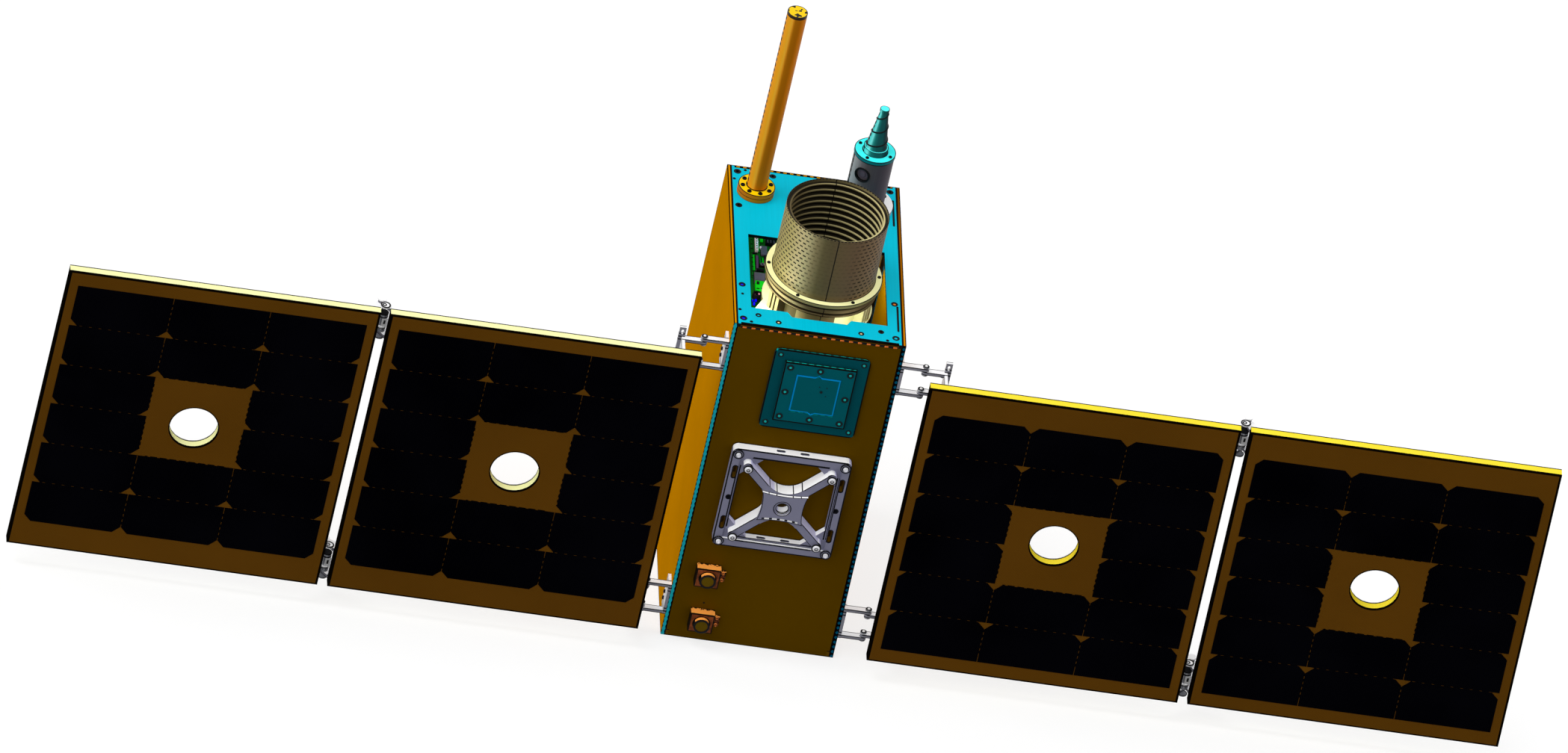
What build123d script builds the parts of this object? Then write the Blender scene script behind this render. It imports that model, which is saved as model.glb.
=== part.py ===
from build123d import *
from math import cos, radians, sin
import os

# Small imaging satellite with two deployed solar wings, in millimetres.
# The origin is the centre of the body's underside. +Z runs up the body, +X along the right wing,
# and -Y is the front, which carries the patch antenna, the adapter and the two small sensors.

os.makedirs("parts", exist_ok=True)

# ---- Body: a box of thin plates on a base plate, four corner posts and a deck ----
body_height = 323.0
body_depth = 218.0  # front to back, over the end plates
frame_width = 138.0  # width of the deck and the base, between the side plates
side_skin = 3.0
end_skin = 3.0
deck_thickness = 3.0
base_thickness = 6.0
post_face = 3.0  # width of each corner post that shows beside the end plates
post_leg = 12.0
post_wall = 3.0

side_x = frame_width / 2 + side_skin  # outer face of the side plates
front_y = -body_depth / 2
deck_under = body_height - deck_thickness
end_plate_width = frame_width - 2 * post_face

# Deck cut-outs
window_side_margin = 12.0
window_front_margin = 25.0
window_depth = 100.6
window_width = frame_width - 2 * window_side_margin
window_y = front_y + window_front_margin + window_depth / 2
window_back_y = window_y + window_depth / 2
notch_width = 46.0  # shallow notch in the window's front edge
notch_depth = 6.0
notch_flare = 3.5
# Holes in the deck: side, end, distance in from that side, distance in from that end, radius
deck_holes = (
    (-1, 1, 5.3, 8.0, 2.6), (-1, 1, 11.9, 5.0, 1.0), (-1, 1, 2.4, 18.4, 1.0), (-1, 1, 34.8, 8.4, 2.3),
    (-1, 1, 5.2, 54.2, 2.4), (-1, -1, 5.2, 54.9, 2.4), (-1, -1, 5.2, 42.2, 0.9), (-1, -1, 2.5, 20.2, 1.1),
    (-1, -1, 5.2, 8.8, 2.6), (-1, -1, 11.7, 5.2, 1.1), (-1, -1, 17.8, 15.4, 2.0), (-1, -1, 34.5, 9.2, 2.0),
    (1, -1, 34.5, 9.2, 2.0), (1, -1, 17.8, 15.4, 2.0), (1, -1, 5.5, 9.4, 2.6), (1, -1, 12.6, 4.7, 1.1),
    (1, -1, 5.5, 56.1, 2.4), (1, 1, 5.3, 8.0, 2.4),
)
deck_slot_inset = 3.2
deck_slot_width = 1.8
deck_slots = ((1, 36.6, 36.0), (-1, 36.1, 35.0))  # end, distance of the middle in from that end, length
separation_bolt_side = 14.0  # bolts under the base, for the launch separation ring, in from its edges
separation_bolt_end = 19.0
separation_bolt_radius = 3.2

# ---- Equipment inside, seen through the deck window ----
block_side_gap = 10.0
block_end_gap = 12.0
board_left_gap = 4.0
board_right_gap = 29.0
board_back_gap = 8.0
board_front_gap = 73.0  # in front of the left arm of each board, which runs beside the camera
board_thickness = 1.6
board_count = 6
board_pitch = 18.0
board_deck_gap = 24.0  # between the top board and the deck
board_barrel_gap = 9.0  # between the boards and the camera's barrel
standoff_radius = 3.0
standoff_inset = 5.0
block_width = frame_width - 2 * block_side_gap
block_depth = body_depth - 2 * block_end_gap
block_top = deck_under - board_deck_gap - board_count * board_pitch

# ---- Camera ----
camera_x = 3.0
camera_front_gap = 75.0  # from the body's front face back to the camera's axis
camera_y = front_y + camera_front_gap
baffle_radius = 43.0
baffle_wall = 0.8
baffle_height = 65.0
vane_count = 11
vane_depth = 3.6
vane_thickness = 0.9
ring_radius = 49.0
ring_rise = 11.0  # top of the ring above the deck
ring_thickness = 3.0
barrel_radius = 38.0
barrel_block_gap = 27.0
barrel_play = 0.2  # round the barrel in its mount
collar_radius = 46.4
collar_height = 10.5
collar_step = 1.2
collar_steps = 2
leg_angles = (90.0, 210.0, 330.0)  # legs that carry the collar, round the camera's axis
leg_reach = 45.0
leg_width = 14.0
leg_height = 18.0
leg_groove = 2.0  # depth and width of the upright grooves in each leg's face
leg_groove_pitch = 4.6
lens_thickness = 6.0
lens_radius = 36.0
mount_thickness = 4.0
mount_ring_radius = 46.0
mount_arm_root = 26.0  # radius of each arm where it leaves the mount's ring
mount_arm_start = 30.0  # from the camera's axis to that root
pillar_radius = 5.0  # at the end of each arm, up to the underside of the deck
pillar_side_gap = 8.5  # from the deck's left edge to the left pillar
pillar_front_reach = 34.0  # from the camera's axis to the right front pillar, across the body
pillar_back_reach = 49.0  # and to the back pillar
pillar_window_gap = 7.5  # from the window's front and back edges to the pillars

# ---- Mast at the back left of the deck ----
mast_side_gap = 19.4  # from the deck's left edge
mast_back_gap = 33.5
mast_x, mast_y = mast_side_gap - frame_width / 2, body_depth / 2 - mast_back_gap
mast_radius = 8.4
mast_wall = 1.5
mast_length = 178.0
mast_flange_radius = 15.4
mast_flange_disc = 3.5
mast_flange_gap = 0.5
mast_flange_groove = 1.0
mast_cap_height = 2.0

# ---- Spiral cone antenna at the back right of the deck ----
cone_side_gap = 29.0  # from the deck's right edge
cone_back_gap = 31.0
cone_x, cone_y = frame_width / 2 - cone_side_gap, body_depth / 2 - cone_back_gap
foot_radius = 24.7
foot_thickness = 4.0
pedestal_radius = 16.8
pedestal_rise = 54.0  # above the deck
port_radius = 6.0
port_depth = 2.5
port_drop = 13.0  # below the pedestal's top
port_angle = -120.0
disc_radius = 17.3
disc_thickness = 3.0
cone_collar_radius = 10.3
cone_collar_height = 4.5
cone_base_radius = 8.9
cone_neck_radius = 3.4
cone_tip_radius = 4.0  # small cap on the cone's neck
cone_tip_height = 2.4
cone_height = 36.3

# ---- Patch antenna on the front plate ----
patch_x = 6.4
patch_top_gap = 58.0  # from the body's top down to the middle of the patch
patch_z = body_height - patch_top_gap
patch_size = 80.0
patch_tray = 2.6
patch_corner = 5.0
patch_board_size = 60.0
patch_board = 3.0
patch_line_size = 36.4  # engraved outline of the radiating patch
patch_line_width = 0.9
patch_line_depth = 0.5

# ---- Square adapter frame with its X-shaped spider on the front plate ----
adapter_drop = 7.5  # below the middle of the body
adapter_z = body_height / 2 - adapter_drop
adapter_size = 99.5
adapter_bar = 9.6
adapter_depth = 9.0
adapter_corner = 5.0
adapter_lip = 2.4  # recessed inner lip of the frame
adapter_lip_drop = 2.5
adapter_gusset = 17.5  # legs of the corner webs that carry the spider's bolts
adapter_side_slot_x = 10.0
adapter_side_slot_length = 7.7
adapter_slot_length = 12.0
adapter_slot_width = 3.0
adapter_slot_pitch = 52.0
adapter_bolt_pitch = 89.4
adapter_bolt_radius = 1.7
adapter_boss_radius = 4.2
adapter_boss_height = 1.2
spider_pitch = 70.0
spider_depth = 15.8
spider_arm = 7.0
spider_boss_radius = 4.0
spider_fillet = 20.0  # radius of the hollow between two arms
spider_play = 0.5  # between the arms and the corner webs beside them
spider_plate_width, spider_plate_height = 38.0, 29.0
spider_plate = 2.5
spider_hollow = 1.8  # how deep the sides of the centre plate are hollowed
cup_radius = 7.0
cup_depth = 12.0

# ---- Two small sensors on the front plate: name, distance in from the left side of the frame, z ----
sensors = (("upper", 23.1, 68.4), ("lower", 26.6, 22.6))
sensor_width, sensor_height, sensor_depth = 20.0, 18.0, 9.0
sensor_lens_radius = 6.4
sensor_lens_bore = 5.0
sensor_lens_length = 4.0
sensor_glass = 1.0
sensor_lug = 5.0
sensor_lug_depth = 3.0

# ---- Solar wings. Right wing values; the left wing mirrors them ----
panel_width = 259.5
panel_height = 281.5
panel_thickness = 9.0
panel_hole_radius = 20.0
panel_standoff = 16.5  # from the front plate's face forward to the back of the panels
panel_gap = 8.4  # between the inner and outer panel of a wing
panel_bottom = (body_height - panel_height) / 2
panel_top = panel_bottom + panel_height
panel_back = front_y - panel_standoff
panel_front = panel_back - panel_thickness

cell_width, cell_height = 80.0, 40.0
cell_gap = 0.6
cell_crop = 6.0
cell_thickness = 0.3
cell_columns, cell_rows = 3, 6
cell_shift = 5.6  # the block of cells sits this far off the panel's middle
blank_column, blank_rows = 1, (2, 3)

# Root hinges: a fork on the body's side plate, a second fork inside it on the inner panel
root_reach = 20.5  # from the side plate out to the hinge axis
root_inset = 3.5  # from the body's front face back to the hinge axis
root_axis_x = side_x + root_reach
root_axis_y = front_y + root_inset
root_height = 29.4
root_arm = 2.7
root_arm_half = 3.0
root_base = 2.5
root_base_depth = 16.2
root_play = 0.4  # between the arms of the two forks
pin_play = 0.1
root_pin_radius = 1.7
root_pin_head = 2.7
pin_head_height = 1.2
root_panel_gap = 3.0  # from the hinge axis to the inner panel's edge
post_reach = 16.0  # from the hinge axis to the fork's web
panel_edge = root_axis_x + root_panel_gap
post_x = root_axis_x + post_reach
post_web = 2.5
post_width = 5.5
post_rise = 9.5
post_slot_width, post_slot_length = 2.2, 4.6
foot_plate = 2.2
foot_plate_width = 14.0

# Hinges between the panels: a pair of nested forks behind the gap
mid_axis_offset = 13.0  # behind the panels' backs, so that the folded panels clear the root forks
mid_axis_shift = 1.6  # from the outer panel's edge inward to the axis; more, and folded panels near the root arms
mid_height = 30.0
mid_inset = 1.3  # from the panel's top and bottom edge to the hinges
mid_lug = 2.6
mid_lug_half = 3.0
mid_leaf = 2.0
mid_leaf_width = 20.0
mid_pin_radius = 1.5
mid_pin_head = 3.6
outer_edge = panel_edge + panel_width + panel_gap
mid_axis_x = outer_edge - mid_axis_shift
mid_axis_y = panel_back + mid_axis_offset


def save(piece, name):
    """Label a finished piece and write it to its own file."""
    piece.label = name
    export_step(piece, f"parts/{name}.step")


def save_pair(piece, name):
    """Write a piece of the right wing and its mirror image on the left wing."""
    save(piece, f"right_{name}")
    save(mirror(piece, about=Plane.YZ), f"left_{name}")


def front_plane(depth):
    """A sketch plane that faces forward, this far in front of the front plate: sketch x is X, y is Z."""
    return Plane(origin=(0, front_y - depth, 0), x_dir=(1, 0, 0), z_dir=(0, -1, 0))


# ======== Body ========

with BuildPart() as base_plate:
    with BuildSketch():
        Rectangle(frame_width, body_depth)
        with GridLocations(0, body_depth - end_skin, 1, 2):
            Rectangle(end_plate_width, end_skin, mode=Mode.SUBTRACT)
        bolt_pitch_x = frame_width - 2 * separation_bolt_side
        bolt_pitch_y = body_depth - 2 * separation_bolt_end
        with GridLocations(bolt_pitch_x, bolt_pitch_y, 2, 2):
            Circle(separation_bolt_radius, mode=Mode.SUBTRACT)
    extrude(amount=base_thickness)
save(base_plate.part, "base_plate")

with BuildPart() as deck:
    with BuildSketch(Plane.XY.offset(deck_under)):
        Rectangle(frame_width, body_depth)
        with GridLocations(0, body_depth - end_skin, 1, 2):
            Rectangle(end_plate_width, end_skin, mode=Mode.SUBTRACT)
        with Locations((0, window_y)):
            Rectangle(window_width, window_depth, mode=Mode.SUBTRACT)
        notch_y = window_y - window_depth / 2
        notch_half = notch_width / 2
        Polygon(
            (-notch_half - notch_flare, window_y), (-notch_half - notch_flare, notch_y),
            (-notch_half, notch_y - notch_depth), (notch_half, notch_y - notch_depth),
            (notch_half + notch_flare, notch_y), (notch_half + notch_flare, window_y),
            align=None, mode=Mode.SUBTRACT,
        )
        for hole_side, hole_end, side_inset, end_inset, hole_radius in deck_holes:
            hole_x = hole_side * (frame_width / 2 - side_inset)
            hole_y = hole_end * (body_depth / 2 - end_inset)
            with Locations((hole_x, hole_y)):
                Circle(hole_radius, mode=Mode.SUBTRACT)
        for slot_end, end_inset, slot_length in deck_slots:
            with Locations((frame_width / 2 - deck_slot_inset, slot_end * (body_depth / 2 - end_inset))):
                SlotOverall(slot_length, deck_slot_width, rotation=90, mode=Mode.SUBTRACT)
    extrude(amount=deck_thickness)
save(deck.part, "deck")

with BuildPart() as corner_posts:
    for right in (1, -1):
        for back in (1, -1):
            with BuildSketch(Plane.XY.offset(base_thickness)):
                corner_x, corner_y = right * frame_width / 2, back * body_depth / 2
                with Locations((corner_x - right * post_wall / 2, corner_y - back * post_leg / 2)):
                    Rectangle(post_wall, post_leg)
                inner_y = corner_y - back * (end_skin + post_wall / 2)
                with Locations((corner_x - right * post_leg / 2, inner_y)):
                    Rectangle(post_leg, post_wall)
            extrude(amount=deck_under - base_thickness)
save(corner_posts.part, "corner_posts")

for plate_name, plate_side in (("front_plate", -1), ("back_plate", 1)):
    with BuildPart() as end_plate:
        with Locations((0, plate_side * (body_depth - end_skin) / 2, body_height / 2)):
            Box(end_plate_width, end_skin, body_height)
    save(end_plate.part, plate_name)

for plate_name, plate_side in (("left_side_plate", -1), ("right_side_plate", 1)):
    with BuildPart() as side_plate:
        with Locations((plate_side * (frame_width + side_skin) / 2, 0, body_height / 2)):
            Box(side_skin, body_depth, body_height)
    save(side_plate.part, plate_name)

with BuildPart() as equipment_block:
    with BuildSketch(Plane.XY.offset(base_thickness)):
        Rectangle(block_width, block_depth)
    extrude(amount=block_top - base_thickness)
save(equipment_block.part, "equipment_block")

board_width = frame_width - board_left_gap - board_right_gap
board_x = (board_left_gap - board_right_gap) / 2
board_left_x = board_x - board_width / 2
board_back_y = body_depth / 2 - board_back_gap
board_front_y = camera_y + barrel_radius + board_barrel_gap
board_depth = board_back_y - board_front_y
board_arm_width = camera_x - barrel_radius - board_barrel_gap - board_left_x
board_arm_length = board_front_y - front_y - board_front_gap
board_arm_x = board_left_x + board_arm_width / 2
with BuildPart() as circuit_boards:
    for level in range(board_count):
        with BuildSketch(Plane.XY.offset(block_top + (level + 1) * board_pitch - board_thickness)):
            with Locations((board_x, board_back_y - board_depth / 2)):
                Rectangle(board_width, board_depth)
            with Locations((board_arm_x, board_front_y - board_arm_length / 2)):
                Rectangle(board_arm_width, board_arm_length)
        extrude(amount=board_thickness)
    standoff_left_x = standoff_inset - block_width / 2
    standoff_right_x = board_left_x + board_width - standoff_inset
    standoff_back_y = board_back_y - 2 * standoff_inset
    with BuildSketch(Plane.XY.offset(block_top)):
        with Locations(
            (standoff_left_x, standoff_back_y), (standoff_right_x, standoff_back_y),
            (standoff_left_x, board_front_y + standoff_inset),
            (standoff_right_x, board_front_y + standoff_inset),
            (standoff_left_x, board_front_y - board_arm_length + standoff_inset),
        ):
            Circle(standoff_radius)
    extrude(amount=board_count * board_pitch)
save(circuit_boards.part, "circuit_boards")

# ======== Camera ========

camera_axis = Plane(origin=(camera_x, camera_y, 0), x_dir=(1, 0, 0), z_dir=(0, -1, 0))
ring_under = body_height + ring_rise - ring_thickness
barrel_bottom = block_top + barrel_block_gap
collar_bottom = ring_under - collar_height
lens_seat = collar_bottom - lens_thickness
leg_root = (barrel_radius + lens_radius) / 2

with BuildPart() as camera_barrel:
    with BuildSketch(camera_axis):
        with BuildLine():
            Polyline(
                (0, barrel_bottom), (barrel_radius, barrel_bottom), (barrel_radius, collar_bottom),
                (collar_radius, collar_bottom), (collar_radius, ring_under), (lens_radius, ring_under),
                (lens_radius, lens_seat), (0, lens_seat), close=True,
            )
        make_face()
        for step in range(collar_steps):
            groove_z = collar_bottom + (step + 0.5) * collar_height / collar_steps
            with Locations((collar_radius, groove_z)):
                Rectangle(2 * collar_step, collar_height / collar_steps / 2, mode=Mode.SUBTRACT)
    revolve(axis=Axis((camera_x, camera_y, 0), (0, 0, 1)))
    for leg_angle in leg_angles:
        leg_out = Vector(cos(radians(leg_angle)), sin(radians(leg_angle)), 0)
        leg_base = Vector(camera_x, camera_y, collar_bottom - leg_height)
        with BuildSketch(Plane(origin=leg_base, x_dir=leg_out, z_dir=(0, 0, 1))):
            with Locations(((leg_root + leg_reach) / 2, 0)):
                Rectangle(leg_reach - leg_root, leg_width)
            with Locations((leg_reach, -leg_groove_pitch / 2), (leg_reach, leg_groove_pitch / 2)):
                Rectangle(2 * leg_groove, leg_groove, mode=Mode.SUBTRACT)
        extrude(amount=leg_height)
save(camera_barrel.part, "camera_barrel")

with BuildPart() as camera_lens:
    with BuildSketch(Plane.XY.offset(lens_seat)):
        with Locations((camera_x, camera_y)):
            Circle(lens_radius)
    extrude(amount=lens_thickness)
save(camera_lens.part, "camera_lens")

# a ring under the legs, held up to the deck by two tapered arms in front and one behind
mount_top = collar_bottom - leg_height
mount_bottom = mount_top - mount_thickness
pillar_front_y = window_y - window_depth / 2 - pillar_window_gap
pillar_back_y = window_back_y + pillar_window_gap
with BuildPart() as camera_mount:
    with BuildSketch(Plane.XY.offset(mount_bottom)):
        with Locations((camera_x, camera_y)):
            Circle(mount_ring_radius)
    extrude(amount=mount_thickness)
    pillars = (
        (pillar_side_gap - frame_width / 2, pillar_front_y), (camera_x + pillar_front_reach, pillar_front_y),
        (camera_x + pillar_back_reach, pillar_back_y),
    )
    for foot_x, foot_y in pillars:
        arm_direction = Vector(foot_x - camera_x, foot_y - camera_y).normalized()
        arm_root = Vector(camera_x, camera_y) + arm_direction * mount_arm_start
        with BuildSketch(Plane.XY.offset(mount_bottom)):
            with Locations(arm_root):
                Circle(mount_arm_root)
            with Locations((foot_x, foot_y)):
                Circle(pillar_radius)
            make_hull()
        extrude(amount=mount_thickness)
        with BuildSketch(Plane.XY.offset(mount_top)):
            with Locations((foot_x, foot_y)):
                Circle(pillar_radius)
        extrude(amount=deck_under - mount_top)
    with BuildSketch(Plane.XY.offset(mount_bottom)):
        with Locations((camera_x, camera_y)):
            Circle(barrel_radius + barrel_play)
    extrude(amount=mount_thickness, mode=Mode.SUBTRACT)
save(camera_mount.part, "camera_mount")

with BuildPart() as camera_ring:
    with BuildSketch(Plane.XY.offset(ring_under)):
        with Locations((camera_x, camera_y)):
            Circle(ring_radius)
            Circle(baffle_radius, mode=Mode.SUBTRACT)
    extrude(amount=ring_thickness)
save(camera_ring.part, "camera_ring")

vane_pitch = baffle_height / vane_count
with BuildPart() as camera_baffle:
    with BuildSketch(camera_axis):
        with Locations((baffle_radius - baffle_wall / 2, ring_under + baffle_height / 2)):
            Rectangle(baffle_wall, baffle_height)
        for level in range(vane_count):
            vane_z = ring_under + (level + 0.5) * vane_pitch
            with Locations((baffle_radius - baffle_wall - vane_depth / 2, vane_z)):
                Rectangle(vane_depth, vane_thickness)
    revolve(axis=Axis((camera_x, camera_y, 0), (0, 0, 1)))
save(camera_baffle.part, "camera_baffle")

# ======== Mast ========

with BuildPart() as mast_flange:
    with BuildSketch(Plane.XY.offset(body_height)):
        with Locations((mast_x, mast_y)):
            Circle(mast_flange_radius)
    extrude(amount=mast_flange_disc)
    with BuildSketch(Plane.XY.offset(body_height + mast_flange_disc)):
        with Locations((mast_x, mast_y)):
            Circle(mast_flange_radius - mast_flange_groove)
    extrude(amount=mast_flange_gap)
    with BuildSketch(Plane.XY.offset(body_height + mast_flange_disc + mast_flange_gap)):
        with Locations((mast_x, mast_y)):
            Circle(mast_flange_radius)
    extrude(amount=mast_flange_disc)
save(mast_flange.part, "mast_flange")

mast_bottom = body_height + 2 * mast_flange_disc + mast_flange_gap
with BuildPart() as mast_tube:
    with BuildSketch(Plane.XY.offset(mast_bottom)):
        with Locations((mast_x, mast_y)):
            Circle(mast_radius)
            Circle(mast_radius - mast_wall, mode=Mode.SUBTRACT)
    extrude(amount=mast_length)
save(mast_tube.part, "mast_tube")

with BuildPart() as mast_cap:
    with BuildSketch(Plane.XY.offset(mast_bottom + mast_length)):
        with Locations((mast_x, mast_y)):
            Circle(mast_radius)
    extrude(amount=mast_cap_height)
save(mast_cap.part, "mast_cap")

# ======== Spiral cone antenna ========

pedestal_top = body_height + pedestal_rise
with BuildPart() as antenna_foot:
    with BuildSketch(Plane.XY.offset(body_height)):
        with Locations((cone_x, cone_y)):
            Circle(foot_radius)
    extrude(amount=foot_thickness)
save(antenna_foot.part, "antenna_foot")

with BuildPart() as antenna_pedestal:
    with BuildSketch(Plane.XY.offset(body_height + foot_thickness)):
        with Locations((cone_x, cone_y)):
            Circle(pedestal_radius)
    extrude(amount=pedestal_top - body_height - foot_thickness)
    port_direction = Vector(cos(radians(port_angle)), sin(radians(port_angle)), 0)
    port_middle = Vector(cone_x, cone_y, pedestal_top - port_drop)
    port_floor = port_middle + port_direction * (pedestal_radius - port_depth)
    with BuildSketch(Plane(origin=port_floor, z_dir=port_direction)):
        Circle(port_radius)
    extrude(amount=pedestal_radius, mode=Mode.SUBTRACT)
save(antenna_pedestal.part, "antenna_pedestal")

with BuildPart() as antenna_disc:
    with BuildSketch(Plane.XY.offset(pedestal_top)):
        with Locations((cone_x, cone_y)):
            Circle(disc_radius)
    extrude(amount=disc_thickness)
save(antenna_disc.part, "antenna_disc")

cone_bottom = pedestal_top + disc_thickness
cone_shoulder = cone_bottom + cone_collar_height
cone_top = cone_shoulder + cone_height
with BuildPart() as antenna_cone:
    with BuildSketch(Plane(origin=(cone_x, cone_y, 0), x_dir=(1, 0, 0), z_dir=(0, -1, 0))):
        with BuildLine():
            Polyline(
                (0, cone_bottom), (cone_collar_radius, cone_bottom), (cone_collar_radius, cone_shoulder),
                (cone_base_radius, cone_shoulder), (cone_neck_radius, cone_top), (cone_tip_radius, cone_top),
                (cone_tip_radius, cone_top + cone_tip_height), (0, cone_top + cone_tip_height), close=True,
            )
        make_face()
    revolve(axis=Axis((cone_x, cone_y, 0), (0, 0, 1)))
save(antenna_cone.part, "antenna_cone")

# ======== Patch antenna ========

with BuildPart() as patch_plate:
    with BuildSketch(front_plane(0)):
        with Locations((patch_x, patch_z)):
            RectangleRounded(patch_size, patch_size, patch_corner)
    extrude(amount=patch_tray)
save(patch_plate.part, "patch_plate")

with BuildPart() as patch_board_piece:
    with BuildSketch(front_plane(patch_tray)):
        with Locations((patch_x, patch_z)):
            Rectangle(patch_board_size, patch_board_size)
    extrude(amount=patch_board)
    with BuildSketch(front_plane(patch_tray + patch_board)):
        with Locations((patch_x, patch_z)):
            Rectangle(patch_line_size + 2 * patch_line_width, patch_line_size + 2 * patch_line_width)
            Rectangle(patch_line_size, patch_line_size, mode=Mode.SUBTRACT)
    extrude(amount=-patch_line_depth, mode=Mode.SUBTRACT)
save(patch_board_piece.part, "patch_board")

# ======== Adapter frame and spider ========

adapter_middle = (0, adapter_z)
adapter_inner = adapter_size - 2 * adapter_bar
gusset_height = adapter_depth - adapter_lip_drop


def adapter_opening(play, mode):
    """The eight-sided opening inside the frame, drawn in the open sketch, smaller all round by the play."""
    half = adapter_inner / 2 - play
    cut = adapter_inner / 2 - adapter_gusset
    corners = [(half, -cut), (half, cut), (cut, half), (-cut, half)]
    corners += [(-x, -z) for x, z in corners]
    with Locations(adapter_middle):
        Polygon(*corners, align=None, mode=mode)


with BuildPart() as adapter_frame:
    with BuildSketch(front_plane(0)):
        with Locations(adapter_middle):
            RectangleRounded(adapter_size, adapter_size, adapter_corner)
        adapter_opening(0, Mode.SUBTRACT)
    extrude(amount=adapter_depth)
    # the inner lip and the corner webs lie lower than the rails
    with BuildSketch(front_plane(adapter_depth)):
        with Locations(adapter_middle):
            Rectangle(adapter_inner + 2 * adapter_lip, adapter_inner + 2 * adapter_lip)
    extrude(amount=-adapter_lip_drop, mode=Mode.SUBTRACT)
    # raised rings round the corner bolts
    with BuildSketch(front_plane(adapter_depth)):
        with Locations(adapter_middle):
            with GridLocations(adapter_bolt_pitch, adapter_bolt_pitch, 2, 2):
                Circle(adapter_boss_radius)
    extrude(amount=adapter_boss_height)
    with BuildSketch(front_plane(0)):
        with Locations(adapter_middle):
            with GridLocations(adapter_bolt_pitch, adapter_bolt_pitch, 2, 2):
                Circle(adapter_bolt_radius)
            with GridLocations(adapter_bolt_pitch, adapter_slot_pitch, 2, 2):
                SlotOverall(adapter_slot_length, adapter_slot_width, rotation=90)
            with GridLocations(adapter_bolt_pitch, 0, 2, 1):
                Circle(adapter_slot_width / 2)
    extrude(amount=adapter_depth + adapter_boss_height, mode=Mode.SUBTRACT)
    with BuildSketch(Plane.XY.offset(adapter_z - adapter_size / 2)):
        with Locations((0, front_y - adapter_depth / 2)):
            with GridLocations(2 * adapter_side_slot_x, 0, 2, 1):
                SlotOverall(adapter_side_slot_length, adapter_slot_width)
    extrude(amount=adapter_size, mode=Mode.SUBTRACT)
save(adapter_frame.part, "adapter_frame")

spider_reach = spider_pitch * 2 ** 0.5
plate_half_width, plate_half_height = spider_plate_width / 2, spider_plate_height / 2


def spider_arms():
    """Two crossed bars in the open sketch, with hollow curves between them."""
    with Locations(adapter_middle):
        for turn in (45, -45):
            Rectangle(spider_reach, spider_arm, rotation=turn)


with BuildPart() as adapter_spider:
    # deep core, inside the frame's opening
    with BuildSketch(front_plane(0)) as core:
        spider_arms()
        fillet(core.vertices().sort_by_distance((0, adapter_z))[:4], spider_fillet)
        adapter_opening(spider_play, Mode.INTERSECT)
    extrude(amount=gusset_height)
    # full arms, resting on the corner webs
    with BuildSketch(front_plane(gusset_height)) as arms:
        spider_arms()
        fillet(arms.vertices().sort_by_distance((0, adapter_z))[:4], spider_fillet)
        with Locations(adapter_middle):
            with GridLocations(spider_pitch, spider_pitch, 2, 2):
                Circle(spider_boss_radius)
    extrude(amount=spider_depth - spider_plate - gusset_height)
    # centre plate with four hollowed sides
    with BuildSketch(front_plane(spider_depth - spider_plate)):
        corners = [
            (-plate_half_width, -plate_half_height), (plate_half_width, -plate_half_height),
            (plate_half_width, plate_half_height), (-plate_half_width, plate_half_height),
        ]
        hollows = [
            (0, spider_hollow - plate_half_height), (plate_half_width - spider_hollow, 0),
            (0, plate_half_height - spider_hollow), (spider_hollow - plate_half_width, 0),
        ]
        with BuildLine():
            for index in range(4):
                side_points = (corners[index], hollows[index], corners[(index + 1) % 4])
                ThreePointArc(*[(x, z + adapter_z) for x, z in side_points])
        make_face()
    extrude(amount=spider_plate)
    with BuildSketch(front_plane(spider_depth)):
        with Locations(adapter_middle):
            Circle(cup_radius)
    extrude(amount=-cup_depth, mode=Mode.SUBTRACT)
save(adapter_spider.part, "adapter_spider")

# ======== Sensors ========

for sensor_name, sensor_inset, sensor_z in sensors:
    sensor_x = sensor_inset - frame_width / 2
    with BuildPart() as housing:
        with BuildSketch(front_plane(0)):
            with Locations((sensor_x, sensor_z)):
                Rectangle(sensor_width, sensor_height)
        extrude(amount=sensor_depth)
        with BuildSketch(front_plane(0)):
            with Locations((sensor_x + (sensor_width + sensor_lug) / 2, sensor_z)):
                Rectangle(sensor_lug, sensor_height / 2)
        extrude(amount=sensor_lug_depth)
        with BuildSketch(front_plane(sensor_depth)):
            with Locations((sensor_x, sensor_z)):
                Circle(sensor_lens_radius)
        extrude(amount=sensor_lens_length)
        with BuildSketch(front_plane(sensor_depth + sensor_lens_length)):
            with Locations((sensor_x, sensor_z)):
                Circle(sensor_lens_bore)
        extrude(amount=-sensor_glass, mode=Mode.SUBTRACT)
    save(housing.part, f"{sensor_name}_sensor")
    with BuildPart() as sensor_window:
        with BuildSketch(front_plane(sensor_depth + sensor_lens_length - sensor_glass)):
            with Locations((sensor_x, sensor_z)):
                Circle(sensor_lens_bore)
        extrude(amount=sensor_glass)
    save(sensor_window.part, f"{sensor_name}_sensor_lens")

# ======== Solar panels ========

panel_z = (panel_bottom + panel_top) / 2
inner_panel_x = panel_edge + panel_width / 2
outer_panel_x = outer_edge + panel_width / 2
panel_plane = Plane(origin=(0, panel_back, 0), x_dir=(1, 0, 0), z_dir=(0, -1, 0))
cell_plane = Plane(origin=(0, panel_front, 0), x_dir=(1, 0, 0), z_dir=(0, -1, 0))
cell_pitch_x, cell_pitch_z = cell_width + cell_gap, cell_height + cell_gap

for place, middle_x in (("inner", inner_panel_x), ("outer", outer_panel_x)):
    with BuildPart() as panel:
        with BuildSketch(panel_plane):
            with Locations((middle_x, panel_z)):
                Rectangle(panel_width, panel_height)
                Circle(panel_hole_radius, mode=Mode.SUBTRACT)
        extrude(amount=panel_thickness)
    save_pair(panel.part, f"{place}_panel")

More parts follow.
